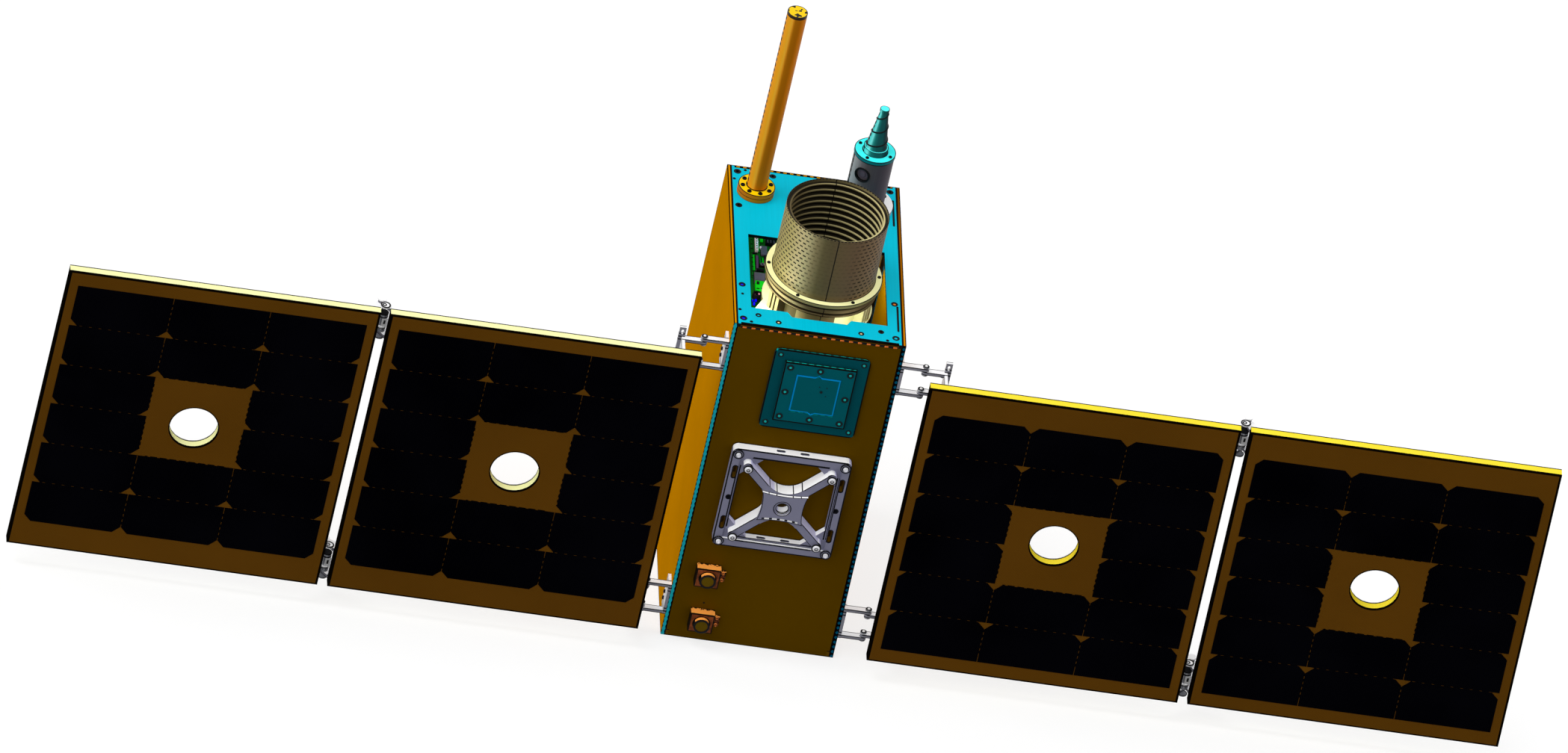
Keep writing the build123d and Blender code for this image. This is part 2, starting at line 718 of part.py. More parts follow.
# the right wing is the left one turned by 180 degrees: cells' cropped corners up, block of cells low
for wing, side in (("right", 1), ("left", -1)):
    for place, middle_x in (("inner", inner_panel_x), ("outer", outer_panel_x)):
        with BuildPart() as cells:
            with BuildSketch(cell_plane):
                for column in range(cell_columns):
                    for row in range(cell_rows):
                        if column == blank_column and row in blank_rows:
                            continue
                        cell_x = side * middle_x + (column - (cell_columns - 1) / 2) * cell_pitch_x
                        row_z = (row - (cell_rows - 1) / 2) * cell_pitch_z
                        cell_z = panel_z + row_z - side * cell_shift
                        half, low = cell_width / 2, side * cell_height / 2
                        with BuildLine():
                            Polyline(
                                *[(cell_x + x, cell_z + z) for x, z in (
                                    (-half, -low), (half, -low), (half, low - side * cell_crop),
                                    (half - cell_crop, low), (cell_crop - half, low),
                                    (-half, low - side * cell_crop),
                                )],
                                close=True,
                            )
                        make_face()
            extrude(amount=cell_thickness)
        save(cells.part, f"{wing}_{place}_cells")

# ======== Root hinges ========

root_bottoms = (panel_top - root_height, panel_bottom)
arm_back_y = root_axis_y + root_arm_half
inner_arm_low = root_arm + root_play  # height of the inner fork's arms above the hinge's bottom
inner_arm_high = root_height - 2 * root_arm - root_play


def flat_arm(start_x, end_x, axis_x, axis_y, half):
    """A flat arm in the open sketch: a bar along X whose end is rounded about the hinge axis."""
    with Locations(((start_x + end_x) / 2, axis_y)):
        Rectangle(abs(end_x - start_x), 2 * half)
    with Locations((axis_x, axis_y)):
        Circle(half)


with BuildPart() as root_bracket:
    for bottom in root_bottoms:
        with BuildSketch(Plane.XY.offset(bottom)):
            with Locations((side_x + root_base / 2, front_y + root_base_depth / 2)):
                Rectangle(root_base, root_base_depth)
        extrude(amount=root_height)
        for arm_z in (0, root_height - root_arm):
            with BuildSketch(Plane.XY.offset(bottom + arm_z)):
                flat_arm(side_x, root_axis_x, root_axis_x, root_axis_y, root_arm_half)
                with Locations((root_axis_x, root_axis_y)):
                    Circle(root_pin_radius, mode=Mode.SUBTRACT)
            extrude(amount=root_arm)
save_pair(root_bracket.part, "root_bracket")

# a short pin through each pair of arms, from a head outside to a washer inside the fork
pin_length = 2 * (root_arm + root_play)
with BuildPart() as root_pins:
    for bottom in root_bottoms:
        for pin_z in (bottom, bottom + root_height - pin_length):
            with BuildSketch(Plane.XY.offset(pin_z)):
                with Locations((root_axis_x, root_axis_y)):
                    Circle(root_pin_radius)
            extrude(amount=pin_length)
            for head_z in (-pin_head_height, pin_length):
                with BuildSketch(Plane.XY.offset(pin_z + head_z)):
                    with Locations((root_axis_x, root_axis_y)):
                        Circle(root_pin_head)
                extrude(amount=pin_head_height)
save_pair(root_pins.part, "root_pins")

fork_height = inner_arm_high + root_arm - inner_arm_low
with BuildPart() as root_fork:
    for bottom in root_bottoms:
        for arm_z in (inner_arm_low, inner_arm_high):
            with BuildSketch(Plane.XY.offset(bottom + arm_z)):
                flat_arm(root_axis_x, post_x, root_axis_x, root_axis_y, root_arm_half)
                with Locations((root_axis_x, root_axis_y)):
                    Circle(root_pin_radius + pin_play, mode=Mode.SUBTRACT)
            extrude(amount=root_arm)
        # web from the arms forward to the back of the panel, and the foot on the panel
        with BuildSketch(Plane.XY.offset(bottom + inner_arm_low)):
            with Locations((post_x + post_web / 2, (panel_back + arm_back_y) / 2)):
                Rectangle(post_web, arm_back_y - panel_back)
            with Locations((post_x + foot_plate_width / 2, panel_back + foot_plate / 2)):
                Rectangle(foot_plate_width, foot_plate)
        extrude(amount=fork_height)
        # upright tab with a slot
        tab_base = bottom + inner_arm_low
        tab_height = fork_height + post_rise
        with BuildSketch(Plane(origin=(0, arm_back_y, 0), x_dir=(1, 0, 0), z_dir=(0, -1, 0))):
            with Locations((post_x + post_width / 2, tab_base + tab_height / 2)):
                Rectangle(post_width, tab_height)
            with Locations((post_x + post_width / 2, tab_base + tab_height - post_slot_length)):
                SlotOverall(post_slot_length, post_slot_width, rotation=90, mode=Mode.SUBTRACT)
        extrude(amount=post_web)
save_pair(root_fork.part, "root_fork")

# ======== Hinges between the panels ========

mid_bottoms = (panel_top - mid_inset - mid_height, panel_bottom + mid_inset)
inner_panel_end = panel_edge + panel_width


def lug(panel_end, toward):
    """A lug in the open sketch, from a leaf on the panel's back to the hinge axis."""
    Polygon(
        (panel_end + toward * mid_leaf_width, panel_back), (panel_end, panel_back),
        (mid_axis_x - toward * mid_lug_half, mid_axis_y), (mid_axis_x, mid_axis_y + mid_lug_half),
        align=None,
    )
    with Locations((mid_axis_x, mid_axis_y)):
        Circle(mid_lug_half)


for place, panel_end, toward, inset, bore in (
    ("inner", inner_panel_end, -1, 0, mid_pin_radius),
    ("outer", outer_edge, 1, mid_lug + root_play, mid_pin_radius + pin_play),
):
    with BuildPart() as leaf:
        for bottom in mid_bottoms:
            with BuildSketch(Plane.XY.offset(bottom + inset)):
                with Locations((panel_end + toward * mid_leaf_width / 2, panel_back + mid_leaf / 2)):
                    Rectangle(mid_leaf_width, mid_leaf)
            extrude(amount=mid_height - 2 * inset)
            for lug_z in (inset, mid_height - inset - mid_lug):
                with BuildSketch(Plane.XY.offset(bottom + lug_z)):
                    lug(panel_end, toward)
                    with Locations((mid_axis_x, mid_axis_y)):
                        Circle(bore, mode=Mode.SUBTRACT)
                extrude(amount=mid_lug)
    save_pair(leaf.part, f"mid_hinge_{place}")

with BuildPart() as mid_pins:
    for bottom in mid_bottoms:
        with BuildSketch(Plane.XY.offset(bottom)):
            with Locations((mid_axis_x, mid_axis_y)):
                Circle(mid_pin_radius)
        extrude(amount=mid_height)
        for head_z in (-pin_head_height, mid_height):
            with BuildSketch(Plane.XY.offset(bottom + head_z)):
                with Locations((mid_axis_x, mid_axis_y)):
                    Circle(mid_pin_head)
            extrude(amount=pin_head_height)
save_pair(mid_pins.part, "mid_hinge_pins")
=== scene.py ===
# %% [markdown]
# # A small imaging satellite, dressed
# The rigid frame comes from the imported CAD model: plates, panels, hinges, camera, antennas.
# Here each of those pieces gets a finish made of shader nodes, and the small parts that a
# workshop would add last, such as screws, springs, connectors and seams, are modelled with
# bmesh.

# %% Start: the frame and its box
import math

import bmesh
import bpy
from mathutils import Matrix, Vector


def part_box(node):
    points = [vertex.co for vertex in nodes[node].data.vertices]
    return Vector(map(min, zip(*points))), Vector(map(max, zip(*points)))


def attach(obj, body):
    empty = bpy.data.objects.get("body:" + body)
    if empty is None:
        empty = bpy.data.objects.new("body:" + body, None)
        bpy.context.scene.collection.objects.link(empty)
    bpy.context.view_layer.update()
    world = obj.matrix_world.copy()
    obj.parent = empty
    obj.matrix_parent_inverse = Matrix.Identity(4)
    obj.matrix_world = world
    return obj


MM = 0.001
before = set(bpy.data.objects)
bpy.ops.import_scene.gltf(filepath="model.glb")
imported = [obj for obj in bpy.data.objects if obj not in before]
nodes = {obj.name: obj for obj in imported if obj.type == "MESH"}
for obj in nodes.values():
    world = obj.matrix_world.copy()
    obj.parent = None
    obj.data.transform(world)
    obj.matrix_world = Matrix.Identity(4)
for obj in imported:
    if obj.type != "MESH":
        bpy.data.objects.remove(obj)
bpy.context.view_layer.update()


# %% [markdown]
# ## Picture settings
# A technical view has no perspective, so the camera is orthographic. It looks down on the
# front of the body at about 36 degrees, and is rolled a little, which tilts the wings.

# %% Camera
VIEW_RIGHT = Vector((0.98202, -0.02556, 0.18706))
VIEW_UP = Vector((-0.13493, 0.59803, 0.79005))
VIEW_BACK = Vector((-0.13206, -0.80109, 0.58383))
VIEW_CENTRE = Vector((11.84, 92.34, 129.37)) * MM
VIEW_WIDTH = 1286.1 * MM
VIEW_DISTANCE = 3.0

scene = bpy.context.scene
scene.view_settings.view_transform = "Standard"
camera_data = bpy.data.cameras.new("camera")
camera_data.type = "ORTHO"
camera_data.ortho_scale = VIEW_WIDTH
camera = bpy.data.objects.new("camera", camera_data)
turn = Matrix((VIEW_RIGHT, VIEW_UP, VIEW_BACK)).transposed().to_4x4()
camera.matrix_world = Matrix.Translation(VIEW_CENTRE + VIEW_BACK * VIEW_DISTANCE) @ turn
scene.collection.objects.link(camera)
scene.camera = camera
print("camera at", tuple(round(c, 3) for c in camera.location))


# %% [markdown]
# ## Light
# Broad suns and an even sky stand in for soft studio lamps. The key light is high on the
# left, so that tops are brightest, the left sides next, and the front faces lie in open
# shade, where deep colours stay deep. It is split in two: one sun casts shadows and a second
# one from the same place does not, which keeps the shadows soft and shallow, as a room full
# of diffusers would. A weak sun from the front left reaches into the opening in the deck.

# %% Lamps and sky
def add_sun(name, toward, strength, softness, casts=True):
    """A sun lamp that shines from the direction `toward`, with soft shadow edges."""
    data = bpy.data.lights.new(name, "SUN")
    data.energy = strength
    data.use_shadow = casts
    data.angle = math.radians(softness)
    lamp = bpy.data.objects.new(name, data)
    lamp.rotation_euler = Vector(toward).to_track_quat("Z", "Y").to_euler()
    scene.collection.objects.link(lamp)


SKY = 0.35
add_sun("key", (-0.50, -0.03, 0.865), 0.8, 24)
add_sun("key_even", (-0.50, -0.03, 0.865), 1.3, 24, casts=False)
add_sun("fill", (0.75, -0.05, 0.65), 0.4, 45)
add_sun("front_fill", (-0.45, -0.55, 0.70), 0.35, 35)

world = bpy.data.worlds.new("sky")
scene.world = world
world.use_nodes = True
sky = world.node_tree
sky.nodes.clear()
sky_out = sky.nodes.new("ShaderNodeOutputWorld")
sky_seen = sky.nodes.new("ShaderNodeBackground")
sky_light = sky.nodes.new("ShaderNodeBackground")
sky_mix = sky.nodes.new("ShaderNodeMixShader")
sky_seen.inputs["Strength"].default_value = 1.0
sky_light.inputs["Strength"].default_value = SKY
sky_seen.inputs["Color"].default_value = (1, 1, 1, 1)
sky_light.inputs["Color"].default_value = (1, 1, 1, 1)


def seen_rays(tree):
    """1 for the rays that show a background: straight from the camera, mirrored or refracted."""
    path = tree.nodes.new("ShaderNodeLightPath")
    value = path.outputs["Is Camera Ray"]
    for kind in ("Is Glossy Ray", "Is Transmission Ray"):
        either = tree.nodes.new("ShaderNodeMath")
        either.operation = "MAXIMUM"
        tree.links.new(value, either.inputs[0])
        tree.links.new(path.outputs[kind], either.inputs[1])
        value = either.outputs[0]
    return value


sky.links.new(seen_rays(sky), sky_mix.inputs["Fac"])
sky.links.new(sky_light.outputs["Background"], sky_mix.inputs[1])
sky.links.new(sky_seen.outputs["Background"], sky_mix.inputs[2])
sky.links.new(sky_mix.outputs["Shader"], sky_out.inputs["Surface"])


# %% [markdown]
# ## Floor
# The floor is matt and takes the object's soft shadow. Part of its brightness is its own
# glow toward the camera and into reflections, so that it meets the white sky with no seam.

# %% Floor
FLOOR_HALF = 8.0
sheet = bmesh.new()
bmesh.ops.create_grid(sheet, x_segments=1, y_segments=1, size=FLOOR_HALF)
bmesh.ops.translate(sheet, verts=sheet.verts, vec=(0, 0, -0.2 * MM))
floor_mesh = bpy.data.meshes.new("floor")
sheet.to_mesh(floor_mesh)
sheet.free()
floor = bpy.data.objects.new("floor", floor_mesh)
scene.collection.objects.link(floor)
floor_paint = bpy.data.materials.new("floor_white")
floor_paint.use_nodes = True
tree = floor_paint.node_tree
matt = tree.nodes["Principled BSDF"]
matt.inputs["Base Color"].default_value = (0.42, 0.42, 0.42, 1)
matt.inputs["Roughness"].default_value = 0.9
matt.inputs["Specular IOR Level"].default_value = 0.0
glow = tree.nodes.new("ShaderNodeEmission")
level = tree.nodes.new("ShaderNodeMath")
level.operation = "MULTIPLY"
level.inputs[1].default_value = 0.6
tree.links.new(seen_rays(tree), level.inputs[0])
tree.links.new(level.outputs[0], glow.inputs["Strength"])
both = tree.nodes.new("ShaderNodeAddShader")
tree.links.new(matt.outputs[0], both.inputs[0])
tree.links.new(glow.outputs[0], both.inputs[1])
tree.links.new(both.outputs[0], tree.nodes["Material Output"].inputs["Surface"])
floor_mesh.materials.append(floor_paint)


# %% [markdown]
# ## Node helpers
# Every finish starts from one principled shader. `Finish` wraps its node tree, so that a
# pattern reads as a short chain: where am I on the piece, which pattern value is here, and
# which socket takes it.

# %% The Finish helper
def linear(colour):
    """A screen colour of three numbers, 0 to 255, as the four linear numbers that shaders use."""
    if len(colour) == 4:
        return colour
    channels = [c / 255 for c in colour]
    return tuple(c / 12.92 if c <= 0.04045 else ((c + 0.055) / 1.055) ** 2.4 for c in channels) + (1.0,)


def shade(colour, factor):
    """A colour made darker or lighter, in linear numbers."""
    return tuple(min(1.0, c * factor) for c in linear(colour)[:3]) + (1.0,)


class Value:
    """A number that nodes work out at every point of a surface. Arithmetic on it adds Math nodes."""

    def __init__(self, finish, socket):
        self.finish, self.socket = finish, socket

    def __add__(self, other):
        return self.finish.math("ADD", self, other)

    def __sub__(self, other):
        return self.finish.math("SUBTRACT", self, other)

    def __rsub__(self, other):
        return self.finish.math("SUBTRACT", other, self)

    def __mul__(self, other):
        return self.finish.math("MULTIPLY", self, other)

    def __truediv__(self, other):
        return self.finish.math("DIVIDE", self, other)

    def __pow__(self, other):
        return self.finish.math("POWER", self, other)

    def __lt__(self, other):
        return self.finish.math("LESS_THAN", self, other)

    def __gt__(self, other):
        return self.finish.math("GREATER_THAN", self, other)

    def __abs__(self):
        return self.finish.math("ABSOLUTE", self)


class Finish:
    """A material under construction: helpers that add nodes and join them."""

    def __init__(self, name, colour, rough=0.5, metal=0.0, specular=0.1):
        self.name = name
        self.material = bpy.data.materials.new(name)
        self.material.use_nodes = True
        self.tree = self.material.node_tree
        self.shader = self.tree.nodes["Principled BSDF"]
        self.colour = linear(colour)
        self.set("Base Color", self.colour)
        self.set("Roughness", rough)
        self.set("Metallic", metal)
        self.set("Specular IOR Level", specular)
        self.material.diffuse_color = self.colour
        coordinates = self.node("TexCoord")
        self.where = Value(self, coordinates.outputs["Object"])
        self.place = self.split(self.where)
        self.facing = self.split(Value(self, coordinates.outputs["Normal"]))

    def set(self, socket, value):
        self.shader.inputs[socket].default_value = value

    def join(self, source, target):
        self.tree.links.new(source.socket, target)

    def give(self, source, socket):
        self.join(source, self.shader.inputs[socket])

    def node(self, kind, **values):
        made = self.tree.nodes.new("ShaderNode" + kind)
        for key, value in values.items():
            setattr(made, key, value)
        return made

    def math(self, operation, *values):
        made = self.node("Math", operation=operation)
        for socket, value in zip(made.inputs, values):
            if isinstance(value, (int, float)):
                socket.default_value = value
            else:
                self.join(value, socket)
        return Value(self, made.outputs[0])

    def largest(self, *values):
        total = values[0]
        for value in values[1:]:
            total = self.math("MAXIMUM", total, value)
        return total

    def distance(self, first, second):
        """How far a point lies from the origin of two offsets."""
        return self.math("SQRT", first * first + second * second)

    def split(self, vector):
        """The x, y and z of a vector."""
        made = self.node("SeparateXYZ")
        self.join(vector, made.inputs[0])
        return [Value(self, socket) for socket in made.outputs]

    def stretch(self, scale):
        made = self.node("Mapping")
        self.join(self.where, made.inputs["Vector"])
        made.inputs["Scale"].default_value = scale
        return Value(self, made.outputs[0])

    def noise(self, scale, detail=2.0, rough=0.5, source=None):
        made = self.node("TexNoise")
        self.join(source or self.where, made.inputs["Vector"])
        made.inputs["Scale"].default_value = scale
        made.inputs["Detail"].default_value = detail
        made.inputs["Roughness"].default_value = rough
        return Value(self, made.outputs["Fac"])

    def span(self, value, low, high, start=0.3, end=0.7):
        made = self.node("MapRange")
        self.join(value, made.inputs["Value"])
        for key, number in (("From Min", start), ("From Max", end), ("To Min", low), ("To Max", high)):
            made.inputs[key].default_value = number
        return Value(self, made.outputs["Result"])

    def near(self, value, target, reach):
        """1 where a value is within reach of a target."""
        return abs(value - target) < reach

    def repeat(self, value, pitch, share, offset=0.0):
        """1 for the first share of every pitch."""
        return self.math("FRACT", value * (1 / pitch) + offset) < share

    def polar(self, centre):
        """Distance from an upright axis, and the angle round it."""
        off_x, off_y = self.place[0] - centre[0], self.place[1] - centre[1]
        return self.distance(off_x, off_y), self.math("ARCTAN2", off_y, off_x)

    def tops(self, least=0.7):
        """1 where the surface looks up."""
        return self.facing[2] > least

    def fronts(self, least=0.7):
        """1 where the surface looks to the front."""
        return self.facing[1] < -least

    def box_lines(self, box, width):
        """1 along the edges of a box, given by its low and high corner."""
        rims = [
            abs(at - (low + high) / 2) > (high - low) / 2 - width
            for at, low, high in zip(self.place, *box)]
        return rims[0] + rims[1] + rims[2] > 1.5

    def blend(self, share, first, second):
        """Mix two colours, each worked out by nodes or plain, by a share from 0 to 1."""
        made = self.node("Mix", data_type="RGBA")
        for index, value in ((0, share), (6, first), (7, second)):
            if isinstance(value, Value):
                self.join(value, made.inputs[index])
            else:
                made.inputs[index].default_value = linear(value) if isinstance(value, tuple) else value
        return Value(self, made.outputs[2])

    def ramp(self, value, stops):
        """Colours run together along a value: each stop is a value and a plain colour."""
        low, high = stops[0][0], stops[-1][0]
        made = self.node("ValToRGB")
        self.join(self.span(value, 0.0, 1.0, low, high), made.inputs["Fac"])
        elements = made.color_ramp.elements
        for element, (_, colour) in zip(elements, (stops[0], stops[-1])):
            element.color = linear(colour)
        for place, colour in stops[1:-1]:
            elements.new((place - low) / (high - low)).color = linear(colour)
        return Value(self, made.outputs["Color"])

    def bump(self, height, distance, strength=1.0):
        made = self.node("Bump")
        made.inputs["Distance"].default_value = distance
        made.inputs["Strength"].default_value = strength
        self.join(height, made.inputs["Height"])
        self.give(Value(self, made.outputs["Normal"]), "Normal")


# %% [markdown]
# ## Painted and anodised metal
# Paint and anodising are even from afar, but close up their tone drifts slowly over a plate,
# a fine grain breaks the highlight, and handling leaves smoother patches. Where two plates
# meet there is a dark seam, and the sharp edges hold a dark line. The seam is painted by
# place: a point lies on a seam where two of its box's faces are near.

# %% Plain metal finishes
SEAM = 0.8 * MM
SEAM_TONE = (14, 10, 6)
LINE_TONE = (12, 12, 18)
JOINT_TONE = (6, 8, 10)


def axis_of(name):
    """The x and y of the middle of an upright CAD node."""
    low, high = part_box(name)
    return (low[0] + high[0]) / 2, (low[1] + high[1]) / 2


def width_of(name):
    low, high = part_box(name)
    return high[0] - low[0]


def surface(made, tone, rough=0.45, grain=900.0, depth=0.00004):
    """Finish a material: its colour, its patchy gloss and its fine grain."""
    made.give(tone, "Base Color")
    made.give(made.span(made.noise(60.0, 3.0), rough - 0.07, rough + 0.07), "Roughness")
    made.bump(made.noise(grain, 2.0), depth, 0.6)
    return made


def drifting(made, colour=None, drift=0.06):
    """A colour, by default the finish's own, that drifts slowly over the surface."""
    colour = colour or made.colour
    slow = made.span(made.noise(14.0, 4.0), 0.0, 1.0)
    return made.blend(slow, shade(colour, 1 - drift), shade(colour, 1 + drift))


def painted(name, colour, rough=0.5, metal=0.0, specular=0.1, box=None):
    made = Finish(name, colour, rough=rough, metal=metal, specular=specular)
    tone = drifting(made)
    if box:
        tone = made.blend(made.box_lines(box, SEAM), tone, SEAM_TONE)
    return surface(made, tone, rough)


def lit_tops_shaded_sides(name, top, side):
    """Tops in the finish's own colour as lit, and sides in a second, darker tone as painted shade."""
    made = Finish(name, top)
    return surface(made, made.blend(made.tops(), drifting(made, side), drifting(made)), 0.5)


# %% Painted light and shade that run round upright parts
# Each stop is a facing, from -1 on the left to 1 on the right, and a colour of painted light
# and shade: bright where the light falls from the left, darker where the part turns away.
SUNSHADE_LIGHT_TONES = (
    (-1.0, (166, 150, 90)), (-0.85, (190, 176, 112)), (-0.68, (213, 198, 146)),
    (-0.55, (196, 186, 138)), (-0.4, (143, 132, 93)), (-0.25, (103, 94, 61)), (-0.1, (97, 86, 57)),
    (0.05, (108, 92, 62)), (0.4, (116, 93, 68)), (0.8, (142, 115, 84)), (1.0, (118, 102, 78)))
COLLAR_LIGHT_TONES = (
    (-1.0, (150, 140, 92)), (-0.7, (186, 176, 128)), (-0.5, (170, 160, 116)),
    (-0.3, (118, 108, 74)), (-0.1, (100, 88, 58)), (1.0, (104, 86, 64)))
MAST_LIGHT_TONES = (
    (-1.0, (250, 160, 22)), (-0.66, (254, 178, 34)), (-0.48, (254, 190, 56)),
    (-0.36, (250, 168, 40)), (-0.28, (226, 141, 22)), (-0.16, (189, 114, 2)), (0.3, (193, 110, 0)),
    (0.6, (232, 132, 2)), (1.0, (240, 138, 4)))
PEDESTAL_LIGHT_TONES = (
    (-1.0, (180, 180, 182)), (-0.8, (152, 152, 154)), (-0.6, (110, 107, 110)),
    (-0.35, (84, 81, 85)), (0.2, (84, 79, 87)), (1.0, (90, 79, 92)))
CONE_LIGHT_TONES = (
    (-1.0, (48, 196, 190)), (-0.85, (102, 241, 237)), (-0.7, (134, 254, 250)),
    (-0.55, (50, 168, 162)), (-0.4, (31, 127, 123)), (-0.1, (26, 100, 100)), (0.4, (29, 101, 102)),
    (0.7, (20, 60, 66)), (1.0, (6, 26, 30)))


def painted_side_light(made, stops):
    """Painted light and shade that run round an upright part by its facing, with a faint drift of tone.
    """
    slow = made.span(made.noise(14.0, 4.0), 0.0, 1.0)
    return made.blend(slow * 0.04, made.ramp(made.facing[0], stops), (30, 24, 16))


# %% [markdown]
# ## The deck and the base
# Both are milled plates with a bright cyan coat. Machining leaves faint straight tool marks,
# and a dark line where the plate ends. The walls of each plate, round the holes and along the
# edges, are painted dark as shade: near black on the deck, olive brown on the base.

# %% Deck and base finish
def milled_plate(name, colour, node, wall_shade):
    made = Finish(name, colour, rough=0.42, specular=0.04)
    marks = made.span(made.noise(1.0, 3.0, source=made.stretch((900, 14, 14))), 0, 1, 0.35, 0.65)
    tone = made.blend(marks, shade(colour, 0.97), shade(colour, 1.03))
    slow = made.span(made.noise(11.0, 4.0), 0, 1)
    tone = made.blend(slow * 0.25, tone, shade(colour, 0.86))
    # the walls take a dark tone as painted shade
    tone = made.blend(abs(made.facing[2]) < 0.5, tone, wall_shade)
    tone = made.blend(made.box_lines(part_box(node), SEAM), tone, SEAM_TONE)
    return surface(made, tone, 0.42, 1200.0, 0.00002)


# %% [markdown]
# ## The side and end plates
# The side plates are orange, and the front is a deep olive brown, the orange in painted shade
# on faces that look to the front. A bead-blasted coat has a soft mottle. The front edges of the
# side plates are teal, painted light on the left plate and dark on the right plate, as light
# and shade, with a dark bead along them.

# %% Plate finishes
BEAD_PITCH = 4.9 * MM
STITCH_PITCH = 5.6 * MM
plate_low, plate_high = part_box("left_side_plate")
JOINT_AT = abs(plate_high[0]) - 0.9 * MM
EDGE_MIDDLE = (abs(plate_low[0]) + abs(plate_high[0])) / 2
BACK_END = plate_high[1]
RAIL_AT, RAIL_HALF = 75.0 * MM, 3.0 * MM


def blasted(made, tone, scale, share):
    """The soft mottle of a bead-blasted coat."""
    mottle = made.span(made.noise(scale, 3.0), 0, 1, 0.4, 0.6)
    return made.blend(mottle * share, tone, shade(made.colour, 0.7))


def inner_wall(made, tone):
    """Right plate: a browner top edge, and an inner wall painted darker as shade, with a teal rail and
    dark corner.
    """
    _, y, z = made.place
    along = made.span(y, 0, 1, -BACK_END, BACK_END)
    tone = made.blend(made.tops(), tone, made.blend(along, (206, 122, 4), (112, 60, 6)))
    rail = made.near(y, RAIL_AT, RAIL_HALF)
    # the inner wall's darker orange is painted shade
    wall = made.blend(rail, drifting(made, (157, 102, 0)), (0, 84, 98))
    rungs = rail * made.repeat(z, 5.2 * MM, 0.42)
    wall = made.blend(made.largest(rungs, y > RAIL_AT + RAIL_HALF), wall, (14, 12, 8))
    return made.blend(made.facing[0] < -0.5, tone, wall)


def side_plate_finish(name, edge, node, bead_half=1.15, bead_swing=0.25):
    """Orange sides. Their front edge carries a bead of sealant, wavy on the left, drops on the right."""
    made = Finish(name, (212, 140, 0), rough=0.7, specular=0.0)
    x, _, z = made.place
    front = made.fronts()
    beads = made.math("SINE", z * (2 * math.pi / BEAD_PITCH))
    inside = abs(abs(x) - EDGE_MIDDLE) < beads * (bead_swing * MM) + bead_half * MM
    # The front edge's colour is painted light on the left plate and painted shade on the right.
    edge_tone = made.blend(inside, JOINT_TONE, drifting(made, edge))
    tone = made.blend(front, drifting(made, drift=0.05), edge_tone)
    if node == "right_side_plate":
        tone = inner_wall(made, tone)
    tone = blasted(made, tone, 240.0, (1 - front) * 0.04)
    seam = made.box_lines(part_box(node), SEAM) * (1 - front)
    if node == "back_plate":
        seam = made.largest(seam, made.tops() * made.repeat(x, STITCH_PITCH, 0.5))
    return surface(made, made.blend(seam, tone, SEAM_TONE), 0.7, 700.0, 0.00003)


def front_plate_finish(name):
    # The olive brown is the side plates' orange in painted shade, for a plate that faces the front.
    made = Finish(name, (100, 70, 0), rough=0.7, specular=0.0)
    tone = blasted(made, drifting(made, drift=0.03), 260.0, 0.06)
    low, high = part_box("front_plate")
    ends = abs(made.place[2] - (low[2] + high[2]) / 2) > (high[2] - low[2]) / 2 - SEAM
    return surface(made, made.blend(ends, tone, SEAM_TONE), 0.7, 700.0, 0.00003)


def post_finish(name):
    """Corner posts: the strip beside the front plate has the plate's olive, its painted shade, with a
    dark joint.
    """
    made = Finish(name, (100, 70, 0), rough=0.7, specular=0.0)
    front = made.fronts()
    tone = made.blend(front, drifting(made, (0, 120, 140)), drifting(made, drift=0.05))
    joint = front * (abs(made.place[0]) > JOINT_AT)
    return surface(made, made.blend(joint, tone, JOINT_TONE), 0.7)


# %% [markdown]
# ## Camera
# The camera stands in a sunshade of thin khaki metal. Its inside is lined with light traps,
# ring behind ring, and each ring is held by tabs through fine slots, so that rows of short
# dark dashes run round the outside. The shade is rolled in two halves that meet in a seam.

# %% Camera finishes
CAMERA_AT = axis_of("camera_ring")
SHADE_LOW, SHADE_HIGH = (corner[2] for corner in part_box("camera_baffle"))
SHADE_RADIUS = width_of("camera_baffle") / 2
COLLAR_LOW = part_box("camera_ring")[0][2] - 10.5 * MM
COLLAR_OUTER, COLLAR_INNER = 45.8 * MM, 38.6 * MM
SHADE_WALL, TRAP_REACH, MOUTH_DEPTH = 0.3 * MM, 3.1 * MM, 4.6 * MM
SLOT_ROWS, SLOTS_ROUND, RIM_DASHES = 17, 54, 90
print("camera axis at", CAMERA_AT, "shade radius", SHADE_RADIUS)


def sunshade_slots(made, x, z, angle):
    """Rows of short dashes, faint at the front of the shade and worn here and there."""
    level = (z - SHADE_LOW) / ((SHADE_HIGH - SHADE_LOW) / SLOT_ROWS)
    stagger = made.math("FLOOR", level) * (math.pi / SLOTS_ROUND)
    dash = made.repeat(angle + stagger, 2 * math.pi / SLOTS_ROUND, 0.6)
    clear = made.span(abs(x - CAMERA_AT[0]), 0.12, 1.0, 0.3 * SHADE_RADIUS, 0.58 * SHADE_RADIUS)
    worn = made.span(made.noise(120.0, 2.0), 0.85, 1.0, 0.35, 0.55)
    return made.near(made.math("FRACT", level), 0.5, 0.17) * dash * clear * worn


